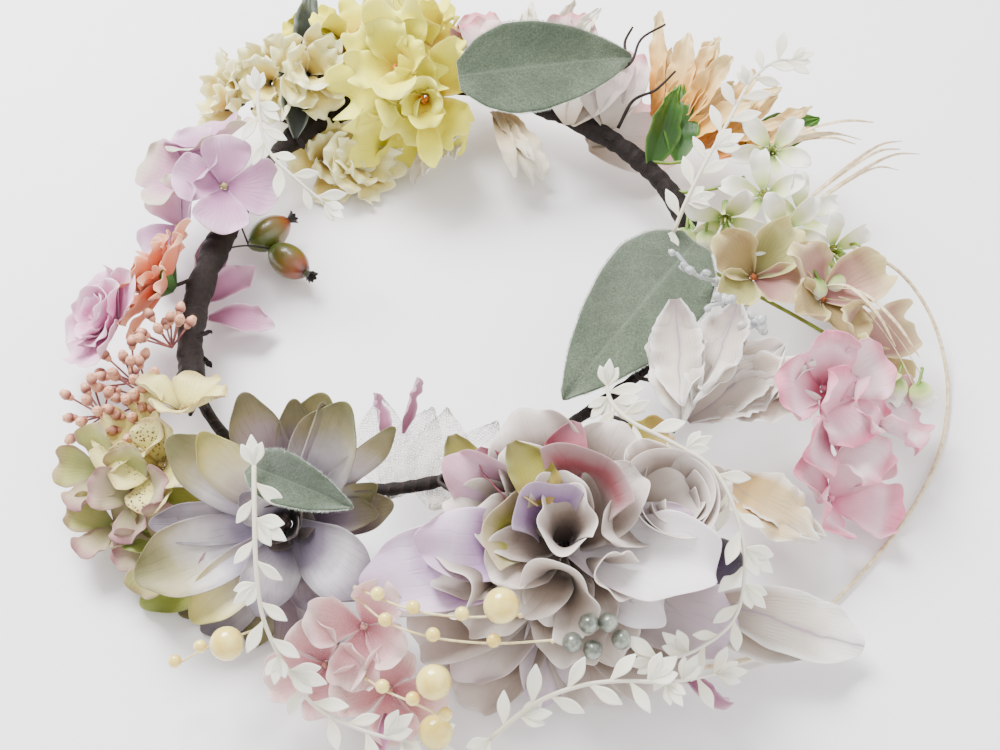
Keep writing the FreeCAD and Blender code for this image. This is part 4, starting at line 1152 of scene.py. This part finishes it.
def make_rosehips():
    """Lacquered rose hips, green at the stalk and rust at the dried crown."""
    n = Nodes("rosehip_skin")
    mottle = n.math("MULTIPLY_ADD", n.noise(140, 4), 0.5, n.minus(n.uv()[0], 0.25))
    shade = n.ramp(mottle, dye_stops("0.25:7F8E3C 0.52:9C9040 0.78:B06E38 1:86482A"))
    n.bump(n.noise(420, 3), 0.25)
    skin = n.surface(shade, 0.35, Coat_Weight=0.3, Subsurface_Weight=0.1, Subsurface_Scale=0.002)
    husk = petal_material("dried_crown", "0:5A3A28 0.6:3E2A20 1:2C1D17", veins=0.3, glow=0.0)
    rng = np.random.default_rng(51)
    bm = bmesh.new()
    uv = bm.loops.layers.uv.new("UVMap")
    crowns = Sheet()
    # The hip's outline: share of its length from the stalk, and share of its widest radius there.
    profile = ((0.0, 0.12), (0.06, 0.45), (0.2, 0.82), (0.42, 1.0), (0.62, 0.95), (0.78, 0.72),
               (0.88, 0.42), (0.93, 0.3))
    for part in loose_parts("rosehips"):
        middle = part.mean(0)
        way = np.linalg.eigh(np.cov((part - middle).T))[1][:, 2]
        along = (part - middle) @ way
        away = np.linalg.norm(part - middle - np.outer(along, way), axis=1)
        wide = away.max()
        if along[away > 0.9 * wide].mean() > (along.min() + along.max()) / 2:
            way = -way
            along = -along
        length = along.max() - along.min()
        path = [middle + way * (along.min() + length * place) for place, _ in profile]
        add_tube(bm, uv, path, wide, 20, 1.0, [wide * share for _, share in profile])
        top = axes_to_matrix(path[-1], Vector(way).orthogonal(), way)
        whorl(crowns, rng, top, 8, 3.6 * MM, 1.9 * MM, 70, out=0.001, shape="strap", curve=-10, tip_curl=-30,
              cup=0.3, jitter=12)
    fruits = from_bmesh("rosehip_fruits", bm, skin)
    subdivide(fruits)
    finish_piece(fruits, "rosehip", "rosehips")
    crowns.finish("rosehip_dried_crowns", husk, 0.3, "rosehip")


def make_berries():
    """Umbels of small waxy buds on fine stalks, each bud paler at its tip."""
    waxy = berry_material("bud_wax", "B07A74", "EBC9B4", 0.45)
    stalk = solid_material("stalk_skin", "9A646A", "C4948C", 300, 0.6, 0.3)
    stalks = loose_parts("berry_stalks")
    beads = []
    for centre, radius in part_balls("berry_beads"):
        nearest = min(stalks, key=lambda part: np.linalg.norm(part - np.array(centre), axis=1).min())
        hub = nearest[np.argmax(np.linalg.norm(nearest - np.array(centre), axis=1))]
        way = (Vector(centre) - Vector(hub)).normalized()
        beads.append((centre, radius * 0.9, way))
        beads.append((centre - way * radius * 0.7, radius * 0.62, -way))
        for turn in range(4):
            around = Matrix.Rotation(math.pi * turn / 2, 3, way) @ way.orthogonal().normalized()
            beads.append((centre + way * radius * 0.68 + around * radius * 0.26, radius * 0.36, way))
    bead_mesh("umbel_buds", beads, waxy, "berry", ["berry_beads"], 0.35, 10)
    reskin("berry_stalks", stalk)


def make_left_sepals():
    """Speckled cream hydrangea and olive-to-mauve sepals at the front left."""
    cream = petal_material("speckled_cream", "0:A89E58 0.3:EFE8AE 0.8:FBF7CC 1:F3E8C0",
                           edge="C3A878", edge_amount=0.45, veins=0.6, specks="8A6E3C", rough=0.75)
    simple_blooms("cream_hydrangea", "speckled_hydrangea", cream, "cream_sepal", 61, (
        dict(count=4, length=1.1, width=1.2, tilt=24, shape="fan", curve=10, tip_curl=-30, cup=0.35,
             ruffle=0.9 * MM, waves=1.6, jitter=10),
    ))
    olive = petal_material("olive_mauve_sepal", "0:A09C70 0.35:CFCBAA 0.8:DCCFC0 1:CDAFB2",
                           "0:9CA868 0.4:CCD09C 1:DEE0A8",
                           edge="C09AA0", edge_amount=0.6, veins=0.6)
    simple_blooms("olive_sepals", "olive_sepal_florets", olive, "olive_sepal", 62, (
        dict(count=4, length=1.0, width=0.95, tilt=20, shape="fan", curve=14, tip_curl=-40, cup=0.35,
             ruffle=1.2 * MM, waves=1.5, jitter=16, dyes=2),
    ))


# Petals of the lilac bloom, by node: azimuth, tilt, length, width, height, roll, dye.
DAHLIA = {
    "outer": (
        (106, 24, 48, 20, 0, 0, 2), (72, 18, 46, 23, 0, 0, 1), (190, -6, 55, 14, -1, 20, 3),
        (172, -6, 50, 17, -3, 0, 3), (207, -12, 56, 20, -2, 0, 3), (232, -18, 47, 19, 0, 0, 0),
        (219, -16, 48, 17, -2, 0, 2), (270, -18, 48, 15, -1, 0, 2), (256, -24, 50, 13, -3, 20, 1),
        (245, -26, 50, 12, -4, -20, 0), (12, 6, 34, 16, 0, 10, 2), (28, 14, 32, 13, 0, 30, 1),
        (286, -14, 44, 15, -2, 0, 0), (88, 24, 44, 15, -1, 20, 2),
    ),
    "middle": (
        (144, 18, 48, 22, 2, 0, 1), (78, 38, 50, 12, 1, 62, 2), (57, 28, 51, 25, 3, 0, 1),
        (46, 26, 53, 13, 2, 48, 1), (226, 2, 42, 20, 3, 0, 4), (2, 12, 30, 14, 2, -20, 2),
        (180, 6, 44, 16, 1, 0, 0),
    ),
    "inner": (
        (126, 38, 47, 20, 5, -12, 4), (200, 4, 50, 27, 4, 0, 1), (260, 22, 33, 21, 6, 0, 0),
        (298, 14, 34, 20, 4, 0, 0), (324, 22, 43, 24, 7, 0, 0),
    ),
    "heart": (
        (130, 68, 37, 16, 9, 0, 0), (150, 62, 17, 10, 9, 0, 5), (0, 20, 9, 12, 7, 0, 5),
        (120, 20, 9, 12, 7, 0, 5), (240, 20, 9, 12, 7, 0, 5), (250, 58, 14, 10, 9, 0, 5),
        (330, 60, 16, 10, 9, 0, 5), (30, 58, 16, 10, 8, 0, 5), (200, 62, 15, 10, 9, 0, 5),
    ),
}


def make_dahlia():
    """The lilac and olive bloom: broad spoon petals in three layers round a dark folded heart."""
    seat = upright(cup_seats("lilac_dahlia_outer")[0][0])
    # The dark lilac-grey at the base of the first five dyes is partly the cloth's colour and partly painted
    # shade between the layers; the sixth dye is the heart's own dark brown.
    lilac = petal_material(
        "lilac_olive_cloth",
        "0:7C7480 0.3:BAB2BF 0.55:ECE9EC 0.8:CFC8D0 1:ADA6B2",
        "0:857B8A 0.3:C6BECE 0.55:F0EDEE 0.78:D6D1B2 1:B7B674",
        "0:8C7E8A 0.35:BDB0BD 0.65:D2C7CD 0.85:C6C0A4 1:AEA97C",
        "0:958E7A 0.35:CCC8A4 0.65:D9DC96 1:C6D266",
        "0:A79EAE 0.3:DAD1D8 0.6:FAF6E6 0.85:F5F0BC 1:E4E08E",
        "0:3A2A26 0.5:5B4740 1:8A7470",
        edge="8A8480", edge_amount=0.45, veins=0.35, blotch=0.35, vein_count=24, rough=0.5)
    rng = np.random.default_rng(71)
    for name, petals in DAHLIA.items():
        node = "lilac_dahlia_" + name
        sheet = Sheet()
        lay_petals(sheet, rng, seat, petals, "spoon", curve=26, tip_curl=-22, cup=0.42,
                   ruffle=0.35 * MM, waves=1.1)
        sheet.finish("lilac_" + name + "_petals", lilac, 0.45, "lilac_petal", node)


# Petals of the greige rose, by node: azimuth, tilt, length, width, height, roll, dye.
ROSE = {
    "outer": (
        (108, 22, 46, 34, 1, 0, 0), (210, -12, 52, 32, -2, 0, 0), (236, -22, 54, 32, -5, 10, 0),
        (286, -22, 46, 28, -6, 0, 0), (336, -12, 58, 32, -3, 0, 1), (304, -16, 50, 28, -5, -10, 0),
        (24, 12, 46, 30, 1, 0, 0), (62, 18, 44, 30, 0, 0, 0), (262, -20, 44, 20, -3, 0, 1),
        (320, -14, 54, 24, -6, 0, 0), (176, 4, 44, 26, -2, 0, 0), (192, -6, 62, 30, -3, 10, 0),
    ),
    "middle": (
        (144, 26, 47, 22, 4, -20, 2), (164, 22, 40, 24, 5, 0, 0), (194, 10, 42, 26, 6, 0, 0),
        (8, 14, 40, 22, 3, 0, 1), (222, 2, 38, 24, 4, 10, 0), (124, 30, 38, 22, 4, 10, 0),
        (274, -2, 34, 26, 3, 0, 0), (300, -4, 36, 24, 2, 10, 0),
    ),
    "inner": (
        (170, 30, 30, 22, 10, 0, 0), (40, 36, 34, 24, 8, 0, 0), (236, 18, 26, 24, 9, 0, 0),
        (262, 12, 24, 24, 8, 0, 0), (288, 8, 26, 24, 7, 0, 0), (206, 28, 27, 22, 10, 0, 0),
        (100, 52, 26, 22, 10, 0, 0),
    ),
}

# Wide white petals of the rose, laid like the others; the dye is lilac-white, white or greige.
BROAD = (
    (192, 8, 61, 29, 7, -6, 0), (184, 20, 46, 24, 10, -14, 0), (346, 14, 47, 30, 10, -6, 1),
    (324, 2, 36, 20, 7, 10, 1), (262, -26, 46, 18, 0, 0, 1), (228, -16, 48, 26, -1, 0, 2),
)

# Rolled petals of the heart: azimuth, out, lean, foot, mouth, height, sweep, spin, dye, frill.
ROLLS = (
    (80, 1, 8, 3, 8.5, 21, 350, 235, 0, 2.0), (325, 9, 40, 2, 7, 17, 330, 60, 0, 1.4),
    (120, 2, 4, 5, 10.5, 23, 150, -75, 5, 1.8), (170, 4, 14, 6, 13, 20, 120, -60, 4, 1.5),
    (62, 4, 10, 9, 15, 26, 130, -65, 3, 1.0),
)


def greige_satin():
    """The rose's satin: six dyes from greige and lilac-grey to pink, rose, olive and violet."""
    return petal_material(
        "greige_satin",
        # The dark taupe and grey towards each dye's base is painted shade between the petals, over the
        # satin's own greige.
        "0:6E625A 0.25:9E9087 0.55:C4B8AF 0.8:DCD3CC 1:F1EBE6",
        "0:82767A 0.3:B9AEB2 0.6:E2DADA 0.85:EBE1E8 1:D6BEDA",
        "0:8A7C80 0.3:B9AAB2 0.6:DCCDD6 0.85:E7C9D8 1:D898B6",
        "0:8A7F78 0.4:BBAEA8 0.6:CBAEAC 0.78:BE5F74 1:A83E58",
        "0:A39A8E 0.3:D9D2C8 0.5:D2CC8E 0.75:BDBB52 1:C9B870",
        "0:7C6E90 0.4:B59FC2 0.8:C9B2D4 1:B091C0",
        edge="F7F3F1", edge_amount=0.28, veins=0.15, blotch=0.3, rough=0.46, vein_count=20)


def rose_layers(rng, seat, greige):
    """The rose's three layers of wide ruffled petals, the middle one with two small trumpets."""
    ruffles = {"outer": 2.0 * MM, "middle": 3.0 * MM, "inner": 1.8 * MM}
    for name, petals in ROSE.items():
        sheet = Sheet()
        lay_petals(sheet, rng, seat, petals, "round", curve=6 if name == "inner" else 24, tip_curl=-60,
                   cup=0.32, ruffle=ruffles[name], waves=1.3)
        if name == "middle":
            for azimuth, tilt, out, size in ((262, 46, 10, 12), (204, 58, 26, 9)):
                place = turn_about(seat, azimuth, 0, out * MM, 12 * MM)
                place = place @ Matrix.Rotation(math.radians(tilt), 4, "Y")
                grid = rolled_grid(rng, 4 * MM, size * MM, 15 * MM, 250, 2.0 * MM, 2.4)
                sheet.add(grid, place, rng.uniform(0.5, 0.9))
        layer = sheet.build("greige_" + name + "_petals", greige, 0.4)
        finish_piece(layer, "greige_petal", "greige_rose_" + name)


def rose_heart(rng, seat, greige):
    """The rolled, frilly petals at the rose's middle."""
    sheet = Sheet()
    for azimuth, out, lean, foot, mouth, height, sweep, spin, dye, frill in ROLLS:
        place = turn_about(seat, azimuth, 0, out * MM, 10 * MM) @ Matrix.Rotation(math.radians(lean), 4, "Y")
        place = place @ Matrix.Rotation(math.radians(spin), 4, "Z")
        grid = rolled_grid(rng, foot * MM, mouth * MM, height * MM, sweep, frill * MM, 2.4, 0.25, 1.9, 17, 49)
        sheet.add(grid, place, dye + rng.uniform(0.5, 0.9))
    sheet.finish("greige_heart_rolls", greige, 0.4, "greige_petal", "greige_rose_heart")


def nested_whorl(rng, greige):
    """The second, smaller rose: rolled petals nested off centre in four guard petals."""
    sheet = Sheet()
    whorl_seat = upright(cup_seats("greige_whorl")[-1][0])
    # Mouth and height in mm, sweep and spin in degrees.
    nested = ((12.5, 19, 300, 0), (10.5, 18, 250, -10), (8, 17, 230, -16), (5.4, 15, 220, -24))
    for mouth, height, sweep, spin in nested:
        place = whorl_seat @ Matrix.Translation(((12.5 - mouth) * 0.45 * MM, 0, 0))
        place = place @ Matrix.Rotation(math.radians(spin + 205), 4, "Z")
        grid = rolled_grid(rng, 5 * MM, mouth * MM, height * MM, sweep, 0.9 * MM, 1.6, 0.3, 1.0, 15, 49)
        sheet.add(grid, place, rng.uniform(0.4, 0.9))
    guards = ((210, 20, 24, 22, 1, 0, 0), (300, 4, 26, 24, -2, 0, 0), (20, 24, 24, 22, 0, 0, 0),
              (120, 30, 24, 22, 0, 0, 0))
    lay_petals(sheet, rng, whorl_seat, guards, "round", curve=26, tip_curl=-40, cup=0.5, ruffle=1.2 * MM)
    sheet.finish("greige_nested_whorl", greige, 0.4, "greige_petal", "greige_whorl")


def broad_petals(rng, seat):
    """The rose's wide white and lilac-white petals."""
    white = petal_material("lilac_white_satin", "0:D8C6E2 0.3:CFAEDB 0.5:DDBFE5 0.75:F3E8F6 1:E6CDE9",
                           "0:C9C0C4 0.3:EDE9EB 0.7:FAF8F8 1:FDFCFC",
                           "0:978B84 0.3:C4BAB4 0.7:E0D9D4 1:EFEAE6",
                           edge="F0E3EA", edge_amount=0.4, veins=0.15, rough=0.45, vein_count=20)
    sheet = Sheet()
    lay_petals(sheet, rng, seat, BROAD, "round", curve=14, tip_curl=-50, cup=0.3, ruffle=3.2 * MM, waves=1.1)
    sheet.finish("broad_white_petals", white, 0.4, "white_petal", "broad_petals")


def tinted_accents(rng):
    """Single olive and rose-pink petals tucked among the rose's own."""
    tints = petal_material("tinted_satin", "0:A9A36C 0.5:BFBB5E 1:CDBB83",
                           "0:C7A4AC 0.5:C97F92 1:B86A84", veins=0.3)
    sheet = Sheet()
    for index, (seat, length, width) in enumerate(blade_seats("tinted_petals")):
        grid = petal_grid(rng, length * 0.94, width * 0.9, "round", curve=20, tip_curl=-50, cup=0.5,
                          ruffle=1.3 * MM, waves=1.6, rows=27, cols=13)
        sheet.add(grid, seat, index % 2 + 0.7)
    sheet.finish("tinted_accent_petals", tints, 0.4, "tinted_petal", "tinted_petals")


def violet_bud(rng):
    """A closed violet bud of two nested skins."""
    violet = petal_material("violet_bud", "0:5A4664 0.5:7E6488 1:A48CB0", veins=0.5, glow=0.05)
    sheet = Sheet()
    for seat, reach in cup_seats("purple_bud"):
        for grow, turned in ((1.0, 0), (1.12, 60)):
            height = reach * 1.9 / grow
            place = seat @ Matrix.Translation((0, 0, height)) @ Matrix.Rotation(math.pi, 4, "X")
            place = place @ Matrix.Rotation(math.radians(turned), 4, "Z")
            sheet.add(bell_grid(rng, reach * 0.68 * grow, height, 3), place, rng.uniform(0.3, 0.9))
    sheet.finish("violet_bud_petals", violet, 0.35, "purple_petal", "purple_bud")


def make_rose():
    """The greige rose with its heart and broad petals, and the whorl, accents and bud beside it."""
    greige = greige_satin()
    rng = np.random.default_rng(81)
    seat = upright(cup_seats("greige_rose_outer")[0][0])
    rose_layers(rng, seat, greige)
    rose_heart(rng, seat, greige)
    nested_whorl(rng, greige)
    broad_petals(rng, seat)
    tinted_accents(rng)
    violet_bud(rng)


def make_front_trim():
    """Glittered florets, silver berries and skeleton leaves."""
    glitter = petal_material("glitter_pink", "0:D8A4B0 0.4:EFCBD0 1:F8E4E2", edge="F8EDEA",
                             veins=0.5, sparkle=0.8, glow=0.35, rough=0.5)
    simple_blooms("glitter_hydrangea", "glittered_sepals", glitter, "glitter_petal", 91, (
        dict(count=4, length=0.98, width=1.02, tilt=20, shape="fan", curve=14, tip_curl=-40, cup=0.45,
             ruffle=1.7 * MM, waves=1.5, jitter=12, rows=19, cols=13),
    ))
    n = Nodes("silver_lacquer")
    shade = n.ramp(n.noise(300, 3), dye_stops("0.3:9EA39E 0.7:D6DAD2"))
    n.bump(n.voronoi(900), 0.3)
    silver = n.surface(shade, 0.28, Metallic=0.6)
    beads = [(centre, radius, Vector((0, -0.4, 1))) for centre, radius in part_balls("silver_berries")]
    bead_mesh("silver_lacquer_berries", beads, silver, "silver_berry", ["silver_berries"], 0.3, 16)
    fibre = solid_material("skeleton_fibre", "D5CFC6", "F1EEE9", 300, 0.75, 0.2)
    rng = np.random.default_rng(92)
    sheet = Sheet()
    for seat, length, width in blade_seats("skeleton_leaves"):
        for turn in (-0.2, 0.25):
            grid = petal_grid(rng, length * 1.1, width, "leaf", curve=12, tip_curl=20, cup=0.2,
                              ruffle=0.8 * MM, rows=41, cols=25)
            grid[1:-1, 1:-1] += rng.normal(0, 0.16 * MM, grid[1:-1, 1:-1].shape)
            sheet.add(grid, seat @ Matrix.Rotation(turn, 4, "Z"), 0.5)
    net = sheet.build("veined_skeleton_leaves", fibre, 0.2)
    net.modifiers.clear()
    lace = net.modifiers.new("net", "WIREFRAME")
    lace.thickness = 0.16 * MM
    finish_piece(net, "skeleton_veil", "skeleton_leaves")


def make_pearls():
    """Ivory pearls on fine thread."""
    pearl = pearl_material("ivory_pearl")
    thread = solid_material("ivory_thread", "EADFB8", "F6EFD6", 600, 0.6, 0.4)
    reskin("pearl_threads", thread)
    knots = []
    for part in loose_parts("pearl_threads"):
        far = part[np.argmax(np.linalg.norm(part - part.mean(0), axis=1))]
        other = part[np.argmax(np.linalg.norm(part - far, axis=1))]
        knots += [(Vector(end), 0.8 * MM, Vector((0, 0, 1))) for end in (far, other)]
    bead_mesh("thread_knots", knots, thread, "pearl", (), 0.1, 8)
    for node in ("small_pearls", "large_pearls"):
        beads = [(centre, radius, Vector((0.3, 0, 1))) for centre, radius in part_balls(node)]
        bead_mesh(node + "_lustre", beads, pearl, "pearl", [node], 0.03, 20)


# Lines of the ivory vines, by node: compass angle, distance from the middle and height in mm.
VINES = {
    "ivory_vine_left": (((247, 128, 44), (250, 142, 42), (252, 154, 36), (254, 165, 26), (257, 173, 14),
                         (260, 178, 4), (265, 181, -2), (270, 182, -6)),),
    "ivory_vines_right": (((312, 86, 12), (306, 98, 24), (304, 112, 32), (306, 126, 34), (308, 140, 32),
                           (307, 154, 27), (305, 166, 18), (302, 174, 6), (297, 176, 4), (293, 176, 8)),
                          ((276, 184, 0), (280, 180, 10), (284, 179, 14), (288, 180, 13), (293, 183, 7),
                           (298, 184, 0))),
    "ivory_sprig": (((140, 88, 34), (147, 78, 33), (154, 68, 29), (158, 56, 25), (160, 44, 18)),),
    "ivory_vine_back": (((2, 84, 16), (8, 90, 24), (15, 100, 30), (22, 114, 34), (28, 130, 35), (31, 146, 32),
                         (32, 158, 26)),),
}


def vine_leaf(sheet, rng, foot, way, up, size, forked):
    """One flat cut leaf on a short stalk, or a forked one of three points."""
    for turn, share in ((-24, 0.8), (0, 1.0), (24, 0.8)) if forked else ((0, 1.0),):
        seat = axes_to_matrix(foot, way, up) @ Matrix.Rotation(math.radians(turn), 4, "Z")
        grid = petal_grid(rng, size * share, size * 0.44, "vine", curve=rng.uniform(-8, 14), tip_curl=-10,
                          cup=0.15, twist=rng.uniform(-20, 20), rows=9, cols=5)
        sheet.add(grid, seat, rng.uniform(0.6, 0.95))


def make_vines():
    """Cut ivory vines: a slim flat stem with pointed leaves to left and right by turns."""
    ivory = petal_material("ivory_vine_card", "0:F6F3E4 0.5:FDFBF0 1:FFFEF8",
                           veins=0.0, blotch=0.05, rough=0.6, glow=0.3)
    rng = np.random.default_rng(101)
    for node, lines in VINES.items():
        stems = [([spot(*seat) for seat in line], 0.75 * MM) for line in lines]
        tube_mesh(node + "_stem", stems, ivory, "ivory_vine", (), 8, 0.7)
        sheet = Sheet()
        for line in lines:
            path = smooth_line([spot(*seat) for seat in line], 12)
            for end, inner in ((path[0], path[6]), (path[-1], path[-7])):
                vine_leaf(sheet, rng, end, Vector(end - inner), Vector((0, -0.55, 0.83)), 9.5 * MM, True)
            gone = 0.0
            side = 1
            for before, here in zip(path, path[1:]):
                gone += np.linalg.norm(here - before)
                if gone < 5.2 * MM:
                    continue
                gone = 0.0
                ahead = Vector(here - before).normalized()
                up = Vector((0, -0.55, 0.83)) + Vector(rng.normal(0, 0.12, 3))
                across = up.cross(ahead).normalized() * side
                way = ahead * rng.uniform(0.6, 1.0) + across * rng.uniform(0.6, 1.0)
                vine_leaf(sheet, rng, here, way, up, rng.uniform(8.5, 12.5) * MM, rng.uniform() < 0.25)
                side = -side
        sheet.finish(node + "_leaves", ivory, 0.5, "ivory_vine", node)


def make_plumes(rng):
    """White dried plumes, ragged and creased, and two pale veined petals below them."""
    white = petal_material("dried_white", "0:BFB2B0 0.3:E4DBD4 0.8:F6F0E8 1:FDFAF4",
                           "0:B99A6A 0.3:E0CCA2 0.8:F2E6CE 1:F8F2E6",
                           "0:B8ACA6 0.4:DDD6CE 0.8:EEEAE4 1:F6F4F0",
                           veins=0.7, vein_count=46, rough=0.8, glow=0.25, edge="FFFFFF", crease="B9A8BA")
    sheet = Sheet()
    tan_front = -90 * MM
    for seat, length, width in blade_seats("white_feathers"):
        tan = 1 if seat.translation.y < tan_front else 0
        for _ in range(2):
            grid = petal_grid(rng, length * rng.uniform(0.76, 0.92), width * rng.uniform(1.0, 1.3), "point",
                              curve=rng.uniform(0, 24), tip_curl=rng.uniform(-60, 0), cup=0.2, fold=0.12,
                              ruffle=2.6 * MM, waves=2.0, twist=rng.uniform(-20, 20), ragged=0.16,
                              rows=41, cols=15)
            turned = seat @ Matrix.Rotation(rng.uniform(-0.3, 0.3), 4, "Z")
            sheet.add(grid, turned, tan + rng.uniform(0.3, 0.9))
    # Foot, tip and width in mm.
    veined = (((303, 160, -6), (313, 199, -15), 24), ((300, 158, -8), (309, 190, -16), 18))
    for foot, tip, width in veined:
        seat = axes_to_matrix(spot(*foot), spot(*tip) - spot(*foot), (0.1, -0.2, 1))
        reach = (spot(*tip) - spot(*foot)).length
        grid = petal_grid(rng, reach, width * MM, "round", curve=-8, tip_curl=20, cup=0.25,
                          ruffle=1.6 * MM, waves=1.4, rows=29, cols=15)
        sheet.add(grid, seat, 2.6)
    sheet.finish("dried_white_plumes", white, 0.25, "white_feather", "white_feathers")


def make_right_hydrangeas():
    """Preserved pink florets and olive florets with a pale rim."""
    pink = petal_material("preserved_pink", "0:E2A0BA 0.3:F6D2DE 0.7:FBE8EE 1:F5C6D6",
                          "0:E8B2C6 0.3:F9E4EA 0.7:FCF1F3 1:F7D4DF",
                          edge="E88FB0", edge_amount=0.4, veins=0.35, rough=0.7, glow=0.3)
    simple_blooms("pink_hydrangea_right", "preserved_pink_sepals", pink, "right_pink_petal", 112, (
        dict(count=4, length=1.16, width=1.2, tilt=22, shape="fan", curve=18, tip_curl=-40, cup=0.4,
             ruffle=2.4 * MM, waves=1.5, jitter=16, dyes=2, rows=19, cols=13),
    ))
    olive = petal_material("olive_hydrangea_cloth", "0:9C9464 0.3:C4C290 0.75:D8D6A8 1:E6E2B8",
                           "0:B98E90 0.4:D6B8B2 0.8:DDCBB8 1:E6DCB8",
                           "0:A0905E 0.35:D2C59A 0.8:DCCDAA 1:D0C088",
                           edge="F2EBC8", edge_amount=0.6, veins=0.5)
    simple_blooms("olive_hydrangea", "olive_hydrangea_sepals", olive, "olive_hydrangea_petal", 113, (
        dict(count=4, length=1.06, width=1.02, tilt=22, shape="round", curve=18, tip_curl=-50, cup=0.5,
             ruffle=2.0 * MM, waves=1.5, jitter=16, dyes=3, uneven=0.15, rows=19, cols=13),
    ))


def make_crystals(rng):
    """Clear drops along the sprigs."""
    n = Nodes("clear_crystal")
    n.bump(n.noise(500, 2), 0.2)
    shade = n.ramp(n.noise(200, 2), dye_stops("0.3:E4E8EC 0.7:FFFFFF"))
    crystal = n.surface(shade, 0.08, Transmission_Weight=0.6, IOR=1.45)
    beads = []
    for part in loose_parts("crystal_sprigs"):
        for _ in range(9):
            at = part[rng.integers(len(part))] + rng.normal(0, 1.0, 3) * MM
            beads.append((Vector(at), rng.uniform(1.0, 1.9) * MM, Vector(at - part.mean(0))))
    bead_mesh("crystal_drops", beads, crystal, "crystal", (), 0.5, 10)
    reskin("crystal_sprigs", crystal)


def make_right_flowers():
    """The trim on the right: plumes, hydrangea and crystal sprigs."""
    rng = np.random.default_rng(111)
    make_plumes(rng)
    make_right_hydrangeas()
    make_crystals(rng)


def make_lilies():
    """Waxy stars on green tubes, and small round bells on hooked stems."""
    waxy = petal_material("waxy_white_cloth", "0:A9C468 0.22:E6EEC2 0.55:FCFCF0 1:FFFFFC",
                          "0:8FB04C 0.5:C6D688 0.85:EFF2CC 1:FBFBEA",
                          veins=0.25, glow=0.35, rough=0.42, blotch=0.1)
    rng = np.random.default_rng(121)
    sheet = Sheet()
    for seat, reach in cup_seats("waxy_stars"):
        tube = rolled_grid(rng, 1.3 * MM, 2.6 * MM, 11 * MM, 360, 0.0, 2, 0.0, 3.0, 11, 17)
        sheet.add(tube, seat @ Matrix.Translation((0, 0, -10.5 * MM)), 1.8)
        whorl(sheet, rng, seat, 5, reach * 1.1, reach * 0.66, 8, out=0.0018, shape="round", curve=26,
              tip_curl=-80, cup=0.4, ruffle=0.7 * MM, waves=1.2, jitter=8, rows=17, cols=9)
        for number in range(5):
            stamen = turn_about(seat, 72 * number + 20, 66, 0.8 * MM)
            path = np.array([(0, 0, 0), (2, 0, 0.2), (4.4, 0, 0.8)]) * MM
            sheet.add(ribbon_grid(path, 0.8 * MM, 0, 20), stamen, 1.6)
    sheet.finish("waxy_star_petals", waxy, 0.4, "waxy_white", "waxy_stars")
    sheet = Sheet()
    for part in loose_parts("lily_bells"):
        middle = Vector(part.mean(0))
        reach = np.ptp(part[:, 0]) / 2
        top = middle + Vector((0, 0, reach * 0.9))
        seat = axes_to_matrix(top, (1, 0, 0), (rng.normal(0, 0.25), -0.35, -1))
        sheet.add(bell_grid(rng, reach, reach * 1.9), seat, rng.uniform(0.6, 0.95))
    sheet.finish("lily_bell_cups", waxy, 0.35, "waxy_white", "lily_bells")


# Eyes of the florets: node, shade, tip shade, size and height over the hub in mm.
EYES = (
    ("pink_hydrangea", "A9A27A", "C9C49A", 1.2, 0), ("glitter_hydrangea", "B98A84", "E4C4BC", 1.0, 0),
    ("cream_hydrangea", "8E7A44", "C9B98A", 1.2, 0), ("olive_sepals", "7E7A50", "B9B48A", 1.0, 0),
    ("olive_hydrangea", "A8683C", "CE965E", 1.2, 0), ("pink_hydrangea_right", "C98AA0", "F0C8D4", 1.1, 0),
    ("lilac_dahlia_heart", "3A2C2A", "6A5652", 2.6, 6),
)


def make_eyes():
    """The small knot of beads at the middle of every floret."""
    for node, shade, tip, size, up in EYES:
        beads = []
        for seat, _ in cup_seats(node):
            pole = seat.col[2].to_3d().normalized()
            side = seat.col[0].to_3d().normalized()
            seat.translation += pole * up * MM
            beads.append((seat.translation + pole * 0.9 * MM, size * MM, pole))
            for number in range(5):
                around = Matrix.Rotation(2 * math.pi * number / 5, 3, pole) @ side
                place = seat.translation + pole * 0.7 * MM + around * size * 0.8 * MM
                beads.append((place, size * 0.5 * MM, pole))
        wax = berry_material(node + "_eyes_wax", shade, tip, 0.6)
        bead_mesh(node + "_eyes", beads, wax, "throat", (), 0.2, 10)


make_floor()
make_light()
make_camera()
make_raffia()
make_ring()
make_stems()
make_yellow()
make_cream()
make_blush()
make_leaves()
make_left_flowers()
make_rosehips()
make_berries()
make_left_sepals()
make_dahlia()
make_rose()
make_front_trim()
make_pearls()
make_vines()
make_right_flowers()
make_lilies()
make_eyes()
